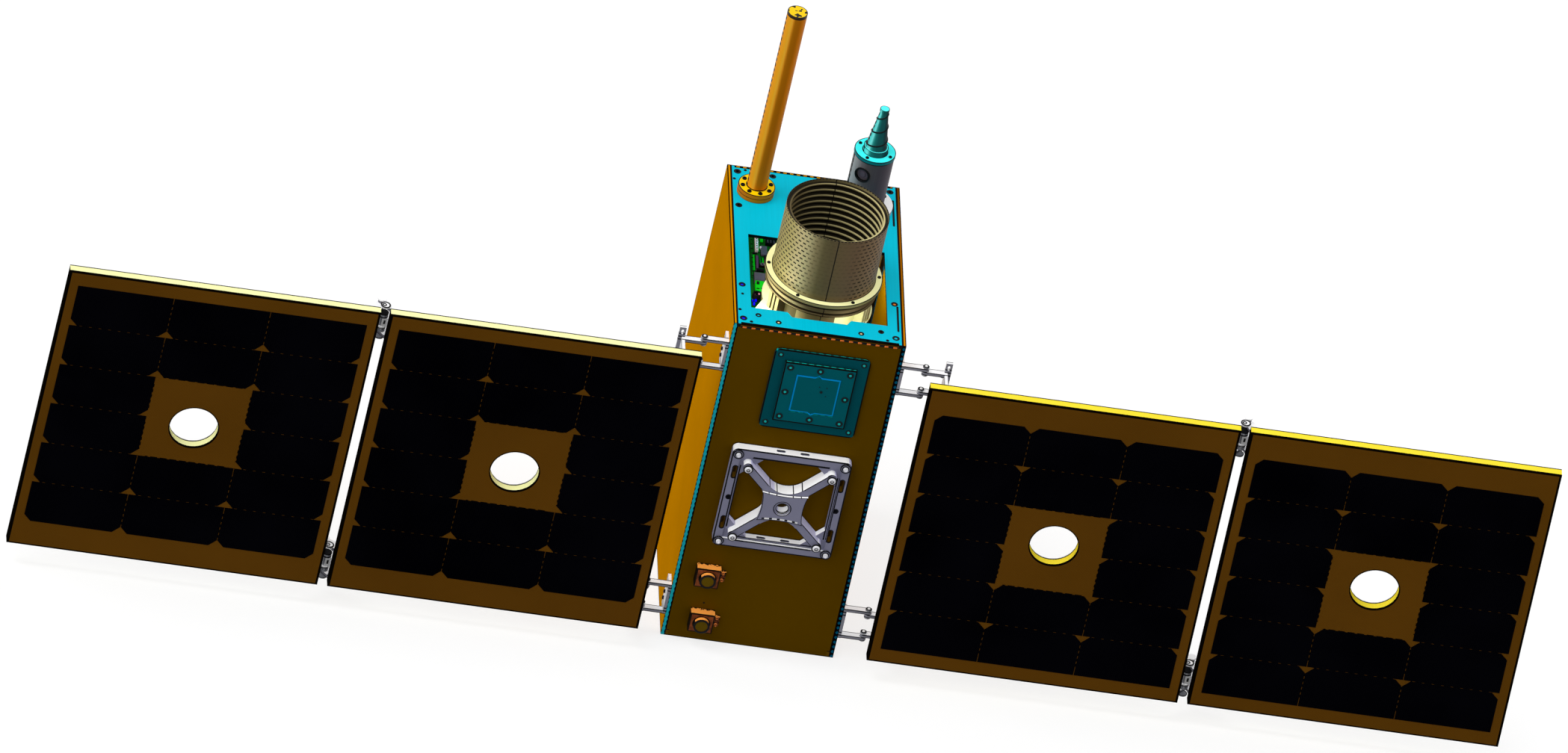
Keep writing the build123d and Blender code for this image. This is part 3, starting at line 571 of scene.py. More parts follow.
def sunshade_finish():
    made = Finish("sunshade_khaki", (190, 180, 124), rough=0.55, specular=0.1)
    x, _, z = made.place
    radius, angle = made.polar(CAMERA_AT)
    outside = radius > SHADE_RADIUS - SHADE_WALL
    # Inside, the walls are painted dark on the left and pale on the right, as shade and light.
    across = made.span(x, 0, 1, CAMERA_AT[0] - 0.7 * SHADE_RADIUS, CAMERA_AT[0] + 0.8 * SHADE_RADIUS)
    inner = made.blend(across, (92, 80, 52), (206, 194, 138))
    inner = made.blend(radius > SHADE_RADIUS - TRAP_REACH, inner, (28, 24, 14))
    mouth = (z > SHADE_HIGH - MOUTH_DEPTH) * (abs(made.facing[2]) < 0.7)
    inner = made.blend(mouth, inner, made.blend(across, (74, 64, 40), (150, 138, 96)))
    # Outside, the tone round the shade is painted light and shade.
    tone = made.blend(outside, inner, painted_side_light(made, SUNSHADE_LIGHT_TONES))
    tone = made.blend(outside * sunshade_slots(made, x, z, angle), tone, (12, 10, 4))
    seam = made.near(x, CAMERA_AT[0], 0.45 * MM) * (radius > 0.5 * SHADE_RADIUS)
    rim = made.near(z, SHADE_HIGH, 0.5 * MM) * made.repeat(angle, 2 * math.pi / RIM_DASHES, 0.62)
    tone = made.blend(made.largest(seam, rim), tone, SEAM_TONE)
    return surface(made, tone, 0.55, 800.0, 0.00003)


def collar_finish():
    """The collar's groove walls are painted dark as shade; below it, the mount's left leg has its
    faces that do not look sideways painted dark as shade, and its right leg is painted pale as lit.
    """
    made = Finish("collar_khaki", (186, 176, 122), rough=0.5, specular=0.12)
    x, _, z = made.place
    radius, _ = made.polar(CAMERA_AT)
    steep = abs(made.facing[2]) < 0.5
    above = z > COLLAR_LOW
    groove = (radius < COLLAR_OUTER) * (radius > COLLAR_INNER)
    # the groove's steep walls are painted dark as shade
    tone = made.blend(groove * steep * above, painted_side_light(made, COLLAR_LIGHT_TONES), (40, 34, 20))
    # the left leg's faces that do not look sideways are painted dark as shade
    left_leg_shade = (abs(made.facing[0]) < 0.8) * (1 - above) * (x < CAMERA_AT[0] - 20 * MM)
    tone = made.blend(left_leg_shade * 0.75, tone, (54, 46, 26))
    # the right leg is painted pale as lit
    tone = made.blend((x > CAMERA_AT[0] + 12 * MM) * (1 - above), tone, (224, 218, 168))
    ledge = made.near(z, COLLAR_LOW, 0.5 * MM) * steep
    seam = made.near(x, CAMERA_AT[0], 0.4 * MM)
    return surface(made, made.blend(made.largest(ledge, seam), tone, SEAM_TONE), 0.5, 800.0, 0.00003)


def ring_finish(name, top, side, node, inner, outer=None):
    """A flat ring: pale top, darker side painted as shade, and a dark line round both of its edges."""
    made = Finish(name, top)
    low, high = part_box(node)
    radius, _ = made.polar(axis_of(node))
    up = made.tops()
    outer = outer or width_of(node) / 2
    edge = made.largest(made.near(radius, outer, 0.7 * MM), made.near(radius, inner, 0.6 * MM))
    z = made.place[2]
    ends = made.largest(made.near(z, low[2], 0.35 * MM), made.near(z, high[2], 0.35 * MM))
    # the side's darker tone is painted shade
    tone = made.blend(up, drifting(made, side), drifting(made, drift=0.03))
    return surface(made, made.blend(made.largest(edge * up, ends * (1 - up)), tone, SEAM_TONE), 0.5)


# %% [markdown]
# ## Mast and antenna
# The mast is a tube of satin orange metal with lengthwise polishing marks. Its two yellow
# ends are chromated, which leaves small dark stains. The conical antenna is a helix wound
# on a teal cone, on a turned grey pedestal. Round the tube, the pedestal and the cone the
# tone runs from bright on the left to dark on the right: painted light and shade. The tops
# of the cone and of the yellow ends are painted pale as lit, and their sides darker as shade.

# %% Mast and antenna finishes
MAST_AT, CONE_AT = axis_of("mast_tube"), axis_of("antenna_disc")
TUBE_RADIUS = 8.4 * MM
CONE_RADIUS, CONE_TIP = 10.3 * MM, 4.0 * MM


def satin_tube(name, light_tones, edge, low, high, line_from=0.955, line_share=0.62):
    made = Finish(name, light_tones[1][1], rough=0.4, specular=0.05)
    z = made.place[2]
    marks = made.noise(1.0, 3.0, source=made.stretch((500, 500, 9)))
    # The tone round the tube is painted light and shade; the polishing marks are the metal's own.
    tone = made.blend(made.span(marks, 0, 1) * 0.1, painted_side_light(made, light_tones), shade(made.colour, 0.7))
    flank = (abs(made.facing[0]) > line_from) * made.repeat(z, 5.4 * MM, line_share)
    ends = made.largest(made.near(z, low, 0.7 * MM), made.near(z, high, 0.7 * MM))
    made.give(made.blend(made.largest(flank, ends), tone, edge), "Base Color")
    made.give(made.span(marks, 0.35, 0.48), "Roughness")
    made.bump(marks, 0.00003, 0.5)
    return made


def stained(name, colour, stain, side, centre, radius):
    """Chromated metal: flat tops with small dark stains, and sides painted dark as shade."""
    made = Finish(name, colour, rough=0.45, specular=0.2)
    up = made.tops()
    spots = made.noise(260.0, 1.0, 0.4) > 0.62
    tone = made.blend(up, drifting(made, side), drifting(made))
    tone = made.blend(spots * up, tone, stain)
    away, _ = made.polar(centre)
    return surface(made, made.blend(up * made.near(away, radius, 0.7 * MM), tone, SEAM_TONE), 0.45)


def cone_finish(name, top, light_tones):
    made = Finish(name, light_tones[1][1], rough=0.45, specular=0.05)
    up = made.tops(0.8)
    radius, _ = made.polar(CONE_AT)
    flank = (abs(made.facing[0]) > 0.93) * made.repeat(made.place[2], 4.2 * MM, 0.75)
    rims = made.largest(made.near(radius, CONE_RADIUS, 0.6 * MM), made.near(radius, CONE_TIP, 0.5 * MM))
    # The cone's upward faces take the pale top colour as painted light, its flanks painted light and
    # shade.
    tone = made.blend(up, painted_side_light(made, light_tones), top)
    return surface(made, made.blend(made.largest(flank, up * rims), tone, SEAM_TONE), 0.45)


# %% [markdown]
# ## Solar panels
# The panel's skin is a brown polyimide film over a weave; part of its brown is painted shade,
# the yellow of the rim darkened on the faces that look to the front. Its rim is a bare yellow
# edge, seen along the top and inside the round hole; on the left wings it is painted paler, as a
# highlight. One material does all three: the direction that a face points in tells the film
# from the rim, and the place tells the last two millimetres, where the film is wrapped and looks
# black. The gaps between cells are part of it too, with the small stops of glue that break them.

# %% Panel and cell finishes
WEAVE = 2.4 * MM
CELL_SHIFT, CELL_PITCH_X, CELL_PITCH_Z = 5.6 * MM, 80.6 * MM, 40.6 * MM
CELL_GAP, CELL_CORNER = 0.4 * MM, 6.2 * MM
CELLS_HALF, LAST_GLUE = 119.0 * MM, 114.6 * MM
HOLE_RADIUS = 20.3 * MM


def cell_gaps(made, x, z):
    """1 in the dark gaps between cells, measured from the block's middle."""
    side, level = abs(x), abs(z)
    column = abs(side - CELL_PITCH_X / 2)
    row = made.math("PINGPONG", level, CELL_PITCH_Z / 2)
    blank = (side < 40.0 * MM) * (level < 20.0 * MM)
    inside = (side < CELLS_HALF) * (level < CELLS_HALF)
    across = (row < CELL_GAP) * (column > CELL_CORNER) * (side < LAST_GLUE)
    across = across * (made.math("FRACT", x / (8.0 * MM)) > 0.28)
    upright = (column < CELL_GAP) * (row > CELL_CORNER)
    upright = upright * (made.math("FRACT", z / (5.5 * MM)) > 0.45)
    return made.largest(across, upright) * inside * (1 - blank)


def back_cloth(made, weave, x, z):
    """Bare carbon cloth with copper tape over the wiring."""
    cloth = made.blend(made.span(weave, 0, 1, -1, 1), (24, 24, 26), (52, 51, 52))
    tape = made.largest(made.repeat(x, 86.5 * MM, 0.05, 0.3), made.repeat(z, 93.8 * MM, 0.045, 0.2))
    return made.blend(tape * 0.75, cloth, (150, 96, 24))


def panel_finish(name, rim, node):
    low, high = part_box(node)
    # The film's brown is in part painted shade, a darkened copy of the rim's yellow.
    made = Finish(name, (104, 67, 15), rough=0.7, specular=0.0)
    x, y, z = made.place
    front, back = made.fronts(0.5), made.facing[1] > 0.5
    weave = made.math("SINE", x * (2 * math.pi / WEAVE)) * made.math("SINE", z * (2 * math.pi / WEAVE))
    drift = made.span(made.noise(9.0, 4.0), -0.6, 0.6)
    film_share = made.span(weave * 0.35 + drift, 0, 1, -1, 1)
    film = made.blend(film_share, shade(made.colour, 0.88), shade(made.colour, 1.12))
    rim_tone = made.blend(made.noise(50.0, 3.0), shade(rim, 0.9), shade(rim, 1.05))
    tone = made.blend(back, made.blend(front, rim_tone, film), back_cloth(made, weave, x, z))

    from_x, from_z = x - (low[0] + high[0]) / 2, z - (low[2] + high[2]) / 2
    wrap_x = abs(from_x) > (high[0] - low[0]) / 2 - 1.9 * MM
    wrap_z = abs(from_z) > (high[2] - low[2]) / 2 - 1.4 * MM
    ring = made.near(made.distance(from_x, from_z), HOLE_RADIUS, 0.7 * MM)
    shift = CELL_SHIFT if node.startswith("left") else -CELL_SHIFT
    wrapped = made.largest(wrap_x, wrap_z, ring, cell_gaps(made, from_x, from_z - shift)) * front
    edges = made.largest(y < low[1] + 1.7 * MM, y > high[1] - 1.1 * MM) * (1 - made.largest(front, back))
    upright = (abs(made.facing[0]) > 0.98) * wrap_x
    tone = made.blend(made.largest(wrapped, edges, upright), tone, (10, 7, 4))
    made.give(tone, "Base Color")
    made.give(made.span(made.noise(40.0), 0.55, 0.68), "Roughness")
    made.bump(weave, 0.00003, 0.5)
    return made


def cell_finish():
    made = Finish("cell_black", (5, 5, 8), rough=0.6, specular=0.0)
    tone = made.blend(made.span(made.noise(11.0, 3.0), 0, 1), (1, 1, 3), (6, 6, 11))
    fingers = made.repeat(made.place[0], 1.6 * MM, 0.12)
    made.give(made.blend(fingers * 0.4, tone, (20, 20, 26)), "Base Color")
    made.give(made.span(made.noise(30.0, 3.0), 0.42, 0.56), "Roughness")
    return made


# %% [markdown]
# ## Front plate fittings
# The patch antenna's board carries an etched blue outline with a small tuning notch at its
# top and bottom; the upward faces of the patch are painted pale teal as lit tops. The adapter
# frame and its spider are lilac grey, their upward faces painted bright as lit tops. Where a
# wall meets the front face, the edge holds a dark line.

# %% Patch antenna
ETCHED_HALF = 17.9 * MM


def patch_finish(name, colour, node, etched=False):
    low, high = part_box(node)
    made = Finish(name, colour, rough=0.6, specular=0.02)
    x, _, z = made.place
    # Upward faces are painted pale teal as lit tops, broken by short dark dashes.
    teeth = made.repeat(x, 6.2 * MM, 0.36)
    edge = made.blend(teeth * 0.8, (0, 160, 152), (0, 40, 44))
    tone = made.blend(made.tops(0.6), drifting(made, drift=0.04), edge)
    if etched:
        off_x, off_z = abs(x - (low[0] + high[0]) / 2), abs(z - (low[2] + high[2]) / 2)
        notch = made.largest(off_x * -0.7 + 2.1 * MM, 0.0)
        line = made.near(made.largest(off_x, off_z - notch), ETCHED_HALF, 0.62 * MM)
        inside = (off_x < ETCHED_HALF + 0.7 * MM) * (off_z < ETCHED_HALF + 2.7 * MM)
        tone = made.blend(line * inside, tone, (0, 150, 220))
    return surface(made, made.blend(made.box_lines((low, high), 1.0 * MM), tone, SEAM_TONE), 0.6)


# %% Adapter frame and spider
BAR_MIDDLE, SLOT_OFFSET, SLOT_HALF = 44.7 * MM, 26.0 * MM, 4.5 * MM
LIP_OUTER, LIP_INNER, LIP_END = 42.7 * MM, 40.5 * MM, 32.0 * MM
PLATE_HALF_X, PLATE_HALF_Z, PLATE_HOLLOW = 19.0 * MM, 14.5 * MM, 1.8 * MM
ARM_HALF, CUP_RADIUS = 4.9 * MM, 6.8 * MM


def adapter_marks(made, tone, from_z, box):
    """Lines along the frame's lips and rim, and round the slots and the hole in its side bars."""
    front = made.fronts()
    off_x, off_z = abs(made.place[0]), abs(from_z)
    far = made.largest(off_x, off_z)
    lips = made.largest(made.near(far, LIP_OUTER, 0.75 * MM), made.near(far, LIP_INNER, 0.6 * MM))
    lips = lips * (made.math("MINIMUM", off_x, off_z) < LIP_END)
    rim = made.near(far, (box[1][0] - box[0][0]) / 2, 1.1 * MM)
    from_bar = abs(off_x - BAR_MIDDLE)
    slot = made.distance(from_bar, made.largest(abs(off_z - SLOT_OFFSET) - SLOT_HALF, 0.0))
    hole = made.distance(from_bar, from_z)
    tone = made.blend((1 - front) * (slot < 1.6 * MM), tone, (84, 58, 0))
    tone = made.blend((1 - front) * (hole < 1.6 * MM), tone, LINE_TONE)
    rings = made.largest(made.near(slot, 1.95 * MM, 0.5 * MM), made.near(hole, 1.9 * MM, 0.7 * MM))
    return tone, front * made.largest(rim, lips, rings)


def spider_marks(made, tone, from_z, box):
    """Lines round the centre plate with its hollow sides, along the arms and on the flats."""
    x, y, _ = made.place
    face_y = box[0][1]
    front, face = made.fronts(), made.near(y, face_y, 0.4 * MM)
    off_x, off_z = abs(x), abs(from_z)
    past_side = off_x - ((off_z / PLATE_HALF_Z) ** 2 * PLATE_HOLLOW + (PLATE_HALF_X - PLATE_HOLLOW))
    past_end = off_z - ((off_x / PLATE_HALF_X) ** 2 * PLATE_HOLLOW + (PLATE_HALF_Z - PLATE_HOLLOW))
    plate = made.largest(past_side > -0.6 * MM, past_end > -0.6 * MM) * face
    hem = made.near(past_end, -1.7 * MM, 0.8 * MM) * (from_z < 0.0) * face * front * (off_x < 15.0 * MM)
    stitch = made.repeat(x, 6.4 * MM, 0.62)
    tone = made.blend(hem, tone, made.blend(stitch, LINE_TONE, (255, 255, 255)))
    bore = (made.distance(x, from_z) < CUP_RADIUS) * (y > face_y + 8 * MM)
    tone = made.blend(bore * front, tone, (66, 46, 0))
    arms = made.near(abs(off_x - off_z), ARM_HALF, 0.75 * MM)
    arms = arms * (made.math("MINIMUM", off_x, off_z) > 15.0 * MM)
    flats = made.largest(made.near(off_x, CUP_RADIUS, 0.42 * MM), made.near(off_x, 13.5 * MM, 0.42 * MM))
    flats = made.tops(0.3) * flats * (from_z > 0.0)
    return tone, made.largest(flats, front * made.largest(plate, arms))


def casting_finish(name, node, face_y, marks_of):
    """Lilac castings: upward faces painted bright as lit tops, whitest where they also look right, and
    dark lines along every edge of the front faces.
    """
    low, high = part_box(node)
    made = Finish(name, (142, 142, 166), rough=0.5, specular=0.05)
    _, y, z = made.place
    # upward faces are painted bright as lit tops, whiter still where they also face right
    painted_lit_tops = made.blend(made.facing[0] > 0.45, (255, 255, 255), (226, 224, 255))
    tone = made.blend(made.tops(0.3), drifting(made, drift=0.03), painted_lit_tops)
    rims = made.largest(made.near(y, face_y, 0.6 * MM), made.near(y, high[1], 1.0 * MM))
    tone, marks = marks_of(made, tone, z - (low[2] + high[2]) / 2, (low, high))
    tone = made.blend(made.largest((1 - made.fronts()) * rims, marks), tone, LINE_TONE)
    return surface(made, tone, 0.5)


# %% Sensors
FRONT_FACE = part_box("front_plate")[0][1]
SENSOR_HALF, SENSOR_STEP, BEZEL_RADIUS = 10.0 * MM, 8.4 * MM, 6.9 * MM


def sensor_finish(name, node):
    """Copper housings: tops painted bright as lit, with a ragged dark lip, and the other faces painted
    brown as shade, with black edges.
    """
    low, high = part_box(node)
    made = Finish(name, (255, 164, 72), rough=0.5, specular=0.05)
    x, y, z = made.place
    ragged = made.span(made.noise(520.0, 1.0), 0.4 * MM, 2.6 * MM, 0.35, 0.65)
    lip = made.largest(FRONT_FACE - y < ragged, made.near(y, FRONT_FACE - SENSOR_STEP, 0.65 * MM))
    # tops are painted bright copper as lit
    lit_copper = made.blend(lip, made.colour, (30, 16, 6))
    patchy = made.span(made.noise(300.0, 2.0), 0, 1, 0.4, 0.6)
    # the other faces are painted brown as shade
    shaded_brown = made.blend(patchy, (150, 78, 40), (112, 58, 30))
    off_x = abs(x - (low[0] + SENSOR_HALF))
    off_z = abs(z - (low[2] + high[2]) / 2)
    edge = made.largest(
        made.near(off_x, SENSOR_HALF, 0.9 * MM), off_z > (high[2] - low[2]) / 2 - 0.8 * MM,
        made.facing[0] < -0.5, made.near(made.distance(off_x, off_z), BEZEL_RADIUS, 0.55 * MM))
    lug = (x > low[0] + 2 * SENSOR_HALF) * (made.noise(420.0, 1.0) > 0.5)
    shaded_brown = made.blend(made.largest(edge, lug), shaded_brown, (14, 8, 4))
    return surface(made, made.blend(made.tops(0.45), shaded_brown, lit_copper), 0.5)


# %% [markdown]
# ## Hinges
# The root hinges have bright arms whose front faces are painted grey as shade. The lugs
# between the panels are dark, with grey walls, and their flat faces behind the panels are
# painted white as lit tops. Thin dark lines mark each level where one arm ends and the next
# begins, so both finishes are given the levels of their arms.

# %% Hinge finishes
ROOT_BOTTOMS, ROOT_LEVELS = (272.85, 20.75), (0.0, 2.9, 5.8, 23.6, 26.5, 29.4)
MID_BOTTOMS, MID_LEVELS = (270.95, 22.05), (0.0, 2.8, 5.6, 24.4, 27.2, 30.0)
ROOT_AXIS_Y, ARM_EDGE = -105.5 * MM, 2.9 * MM
BARE_FROM_Y = -124.0 * MM


def level_lines(made, bottoms, levels, reach):
    """1 near each level above each hinge's bottom, both in millimetres."""
    z = made.place[2]
    return made.largest(*(made.near(z, (low + up) * MM, reach) for low in bottoms for up in levels))


def hinge_finish():
    """Bright hinge arms, their front faces painted grey as shade, with dark lines along the arms' edges.
    """
    made = Finish("hinge_white", (250, 250, 252), rough=0.45, specular=0.1)
    up = made.tops()
    # front faces are painted grey as shade
    tone = made.blend(made.fronts(0.5), drifting(made, drift=0.03), (150, 150, 162))
    line = level_lines(made, ROOT_BOTTOMS, ROOT_LEVELS, 0.6 * MM) * (1 - up)
    arm = made.near(abs(made.place[1] - ROOT_AXIS_Y), ARM_EDGE, 0.55 * MM)
    return surface(made, made.blend(made.largest(line, up * arm), tone, (10, 10, 14)), 0.45)


def lug_finish():
    """Lugs in a dark coat, their flat faces behind the panels painted white as lit tops, with grey walls.
    """
    made = Finish("hinge_dark", (20, 20, 24), rough=0.5, specular=0.08)
    flat = abs(made.facing[2]) > 0.7
    line = level_lines(made, MID_BOTTOMS, MID_LEVELS, 0.55 * MM)
    tone = made.blend(made.noise(300.0), (96, 94, 104), (150, 148, 158))
    tone = made.blend(made.largest(flat, line), tone, made.colour)
    # flat faces behind the panels are painted white as lit tops
    painted_lit_tops = flat * (made.place[1] > BARE_FROM_Y)
    return surface(made, made.blend(painted_lit_tops, tone, (250, 250, 252)), 0.5)


# %% [markdown]
# ## All finishes by name
# The list keeps the colours in one place, as they would stand on a paint chart.

# %% Make the finishes
mast_low, mast_high = (corner[2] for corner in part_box("mast_tube"))
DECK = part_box("deck")[1][2]
PEDESTAL_FOOT, PEDESTAL_HEIGHT = 4.0 * MM, 54.0 * MM
paint_chart = [
    # The front edges: pale teal on the left as painted light, dark teal on the right as painted shade.
    side_plate_finish("orange_left", (34, 196, 212), "left_side_plate"),
    side_plate_finish("orange_right", (0, 92, 124), "right_side_plate", 0.45, 0.75),
    side_plate_finish("orange_back", (212, 140, 0), "back_plate"),
    front_plate_finish("front_olive"),
    post_finish("post_olive"),
    milled_plate("deck_cyan", (0, 190, 216), "deck", (0, 12, 16)),
    milled_plate("base_cyan", (0, 150, 172), "base_plate", (106, 74, 0)),
    painted("block_dark", (52, 60, 66), box=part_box("equipment_block")),
    lit_tops_shaded_sides("board_green", (6, 92, 16), (20, 50, 24)),
    sunshade_finish(),
    collar_finish(),
    lit_tops_shaded_sides("mount_cream", (255, 252, 196), (120, 112, 74)),
    ring_finish("ring_cream", (255, 252, 186), (150, 138, 92), "camera_ring", SHADE_RADIUS),
    painted("glass_dark", (10, 12, 22), rough=0.15, specular=0.5),
    satin_tube("mast_orange", MAST_LIGHT_TONES, (20, 12, 4), mast_low, mast_high),
    ring_finish("flange_yellow", (255, 208, 0), (214, 122, 6), "mast_flange", TUBE_RADIUS, 15.4 * MM),
    stained("tip_yellow", (255, 208, 0), (20, 16, 0), (40, 24, 4), MAST_AT, TUBE_RADIUS),
    lit_tops_shaded_sides("foot_white", (255, 255, 255), (200, 200, 206)),
    satin_tube(
        "pedestal_grey", PEDESTAL_LIGHT_TONES, (14, 14, 16), DECK + PEDESTAL_FOOT, DECK + PEDESTAL_HEIGHT,
        0.965, 0.9),
    ring_finish("disc_cyan", (64, 255, 255), (0, 128, 136), "antenna_disc", CONE_RADIUS),
    cone_finish("cone_teal", (90, 255, 255), CONE_LIGHT_TONES),
    patch_finish("patch_teal", (0, 82, 92), "patch_plate"),
    patch_finish("patch_board_teal", (0, 97, 107), "patch_board", etched=True),
    casting_finish("adapter_lilac", "adapter_frame", FRONT_FACE - 9.0 * MM, adapter_marks),
    casting_finish("spider_lilac", "adapter_spider", FRONT_FACE - 13.3 * MM, spider_marks),
    sensor_finish("upper_sensor_copper", "upper_sensor"),
    sensor_finish("lower_sensor_copper", "lower_sensor"),
    lit_tops_shaded_sides("copper", (236, 136, 62), (150, 84, 38)),
    painted("lens_olive", (107, 84, 14), rough=0.9, specular=0.0),
    hinge_finish(),
    lug_finish(),
    painted("pin_white", (250, 250, 252), rough=0.45, specular=0.15),
    painted("pin_steel", (136, 138, 144), metal=0.4, rough=0.35, specular=0.3),
    cell_finish(),
]
finishes = {made.name: made for made in paint_chart}

# %% Give every CAD node its own finish
NODE_FINISH = {
    "front_plate": "front_olive", "back_plate": "orange_back", "left_side_plate": "orange_left",
    "right_side_plate": "orange_right", "deck": "deck_cyan", "base_plate": "base_cyan",
    "corner_posts": "post_olive", "equipment_block": "block_dark", "circuit_boards": "board_green",
    "camera_barrel": "collar_khaki", "camera_baffle": "sunshade_khaki", "camera_mount": "mount_cream",
    "camera_ring": "ring_cream", "camera_lens": "glass_dark", "mast_flange": "flange_yellow",
    "mast_tube": "mast_orange", "mast_cap": "tip_yellow", "antenna_foot": "foot_white",
    "antenna_pedestal": "pedestal_grey", "antenna_disc": "disc_cyan", "antenna_cone": "cone_teal",
    "patch_plate": "patch_teal", "patch_board": "patch_board_teal", "adapter_frame": "adapter_lilac",
    "adapter_spider": "spider_lilac", "upper_sensor": "upper_sensor_copper",
    "lower_sensor": "lower_sensor_copper",
    "upper_sensor_lens": "lens_olive", "lower_sensor_lens": "lens_olive",
}
# The left wings' rim colour is painted paler than the right's, as a highlight.
for side, rim in (("left", (255, 255, 184)), ("right", (255, 230, 60))):
    for place in ("inner", "outer"):
        film = f"{side}_{place}_film"
        finishes[film] = panel_finish(film, rim, f"{side}_{place}_panel")
        NODE_FINISH[f"{side}_{place}_panel"] = film
        NODE_FINISH[f"{side}_{place}_cells"] = "cell_black"
        NODE_FINISH[f"{side}_mid_hinge_{place}"] = "hinge_dark"
    NODE_FINISH[f"{side}_root_pins"] = "pin_steel"
    NODE_FINISH[f"{side}_mid_hinge_pins"] = "pin_white"
    for part in ("root_bracket", "root_fork"):
        NODE_FINISH[f"{side}_{part}"] = "hinge_white"

for name, node in nodes.items():
    node.data.materials.clear()
    node.data.materials.append(finishes[NODE_FINISH[name]].material)
print("finishes:", len(finishes))


# %% [markdown]
# ## Small parts: turned and milled
# Screws, washers, rings, connectors and pins are all turned parts, so one helper spins a
# profile of radius and height pairs round an axis. Chips, tabs and blocks are milled parts,
# so a second helper scales a cube and bevels it. A `Kit` gathers copies of them, set at
# their places, into one piece that has one finish and rides on one body.

# %% Helpers for small parts
def keep_mesh(shape, name):
    """Tidy a bmesh, keep it as a mesh and free it."""
    bmesh.ops.remove_doubles(shape, verts=shape.verts, dist=0.001 * MM)
    bmesh.ops.recalc_face_normals(shape, faces=shape.faces)
    mesh = bpy.data.meshes.new(name)
    shape.to_mesh(mesh)
    shape.free()
    return mesh


def turned(profile, steps=12):
    """A part turned about Z: profile is a list of (radius, height) pairs in millimetres."""
    shape = bmesh.new()
    rim = [shape.verts.new((radius * MM, 0, height * MM)) for radius, height in profile]
    line = [shape.edges.new(pair) for pair in zip(rim, rim[1:])]
    bmesh.ops.spin(
        shape, geom=rim + line, cent=(0, 0, 0), axis=(0, 0, 1), angle=2 * math.pi, steps=steps,
        use_merge=True)
    return keep_mesh(shape, "turned")


def disc(radius, height):
    """A plain round slice."""
    return turned([(0, 0), (radius, 0), (radius, height), (0, height)], 18)


def milled(width, depth, height, edge=0.2, segments=1):
    """A block with its base at z = 0 and bevelled edges, in millimetres."""
    shape = bmesh.new()
    bmesh.ops.create_cube(shape, size=1.0)
    bmesh.ops.scale(shape, verts=shape.verts, vec=(width * MM, depth * MM, height * MM))
    bmesh.ops.translate(shape, verts=shape.verts, vec=(0, 0, height * MM / 2))
    bmesh.ops.bevel(
        shape, geom=shape.edges[:], offset=edge * MM, segments=segments, profile=0.5,
        affect="EDGES", material=-1)
    return keep_mesh(shape, "milled")


UP, FRONT, BACK, DOWN = (0, 0, 1), (0, -1, 0), (0, 1, 0), (0, 0, -1)
CORNERS = ((-1, -1), (-1, 1), (1, -1), (1, 1))


def stand(at, toward=UP, roll=0.0):
    """A matrix that puts a part's base at a place in millimetres, with its Z toward a direction."""
    if tuple(toward) == UP:
        aim = Matrix.Identity(4)
    else:
        aim = Vector(toward).to_track_quat("Z", "Y").to_matrix().to_4x4()
    return Matrix.Translation(Vector(at) * MM) @ aim @ Matrix.Rotation(math.radians(roll), 4, "Z")


class Kit:
    """One piece made of many small parts, with one finish, that rides on one body."""

    def __init__(self, name, finish, body="bus"):
        self.name, self.finish, self.body = name, finish, body
        self.shape = bmesh.new()

    def add(self, part, at=(0, 0, 0), toward=UP, roll=0.0):
        copy = part.copy()
        copy.transform(stand(at, toward, roll))
        self.shape.from_mesh(copy)
        bpy.data.meshes.remove(copy)

    def done(self):
        mesh = bpy.data.meshes.new(self.name)
        self.shape.to_mesh(mesh)
        self.shape.free()
        mesh.materials.append(finishes[self.finish].material)
        mesh.shade_smooth()
        mesh.set_sharp_from_angle(angle=math.radians(32))
        piece = bpy.data.objects.new(self.name, mesh)
        scene.collection.objects.link(piece)
        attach(piece, self.body)
        print(self.name, "faces:", len(mesh.polygons))


# %% Finishes of the small parts
# name: colour, roughness, share of metal, gloss
SMALL_FINISHES = {
    "black_oxide": ((12, 12, 14), 0.5, 0.0, 0.08), "bolt_steel": ((236, 236, 242), 0.4, 0.2, 0.3),
    "anodised_blue": ((0, 10, 235), 0.4, 0.0, 0.2), "insert_orange": ((236, 122, 22), 0.4, 0.0, 0.2),
    "insert_cream": ((255, 226, 170), 0.4, 0.0, 0.2), "contact_orange": ((236, 118, 40), 0.4, 0.0, 0.2),
    "contact_teal": ((0, 190, 186), 0.4, 0.0, 0.2), "patch_black": ((2, 22, 26), 0.5, 0.0, 0.1),
    "spring_steel": ((150, 148, 156), 0.35, 0.5, 0.4), "latch_white": ((250, 250, 252), 0.4, 0.0, 0.2),
    "helix_dark": ((0, 12, 14), 0.5, 0.0, 0.1), "port_dark": ((84, 76, 88), 0.5, 0.0, 0.1),
    "solder_dark": ((0, 110, 26), 0.5, 0.0, 0.1), "solder_green": ((0, 214, 20), 0.45, 0.0, 0.15),
    "plug_white": ((248, 240, 250), 0.45, 0.0, 0.15), "plug_pink": ((222, 150, 170), 0.45, 0.0, 0.15),
    "chip_grey": ((88, 86, 100), 0.45, 0.0, 0.15), "flex_purple": ((96, 66, 104), 0.45, 0.0, 0.15),
    "lead_blue": ((0, 0, 235), 0.45, 0.0, 0.15), "flex_copper": ((196, 118, 40), 0.4, 0.0, 0.2),
    "potting_black": ((16, 16, 18), 0.4, 0.0, 0.2), "ring_metal": ((170, 170, 176), 0.4, 0.0, 0.2),
}
for name, (colour, rough, metal, specular) in SMALL_FINISHES.items():
    finishes[name] = painted(name, colour, rough, metal, specular)


# %% [markdown]
# ## Screws
# A cap screw seen small is a low cylinder with a chamfer and a dark socket. Ten steps round
# are enough at this size, and there are more than a hundred of them.

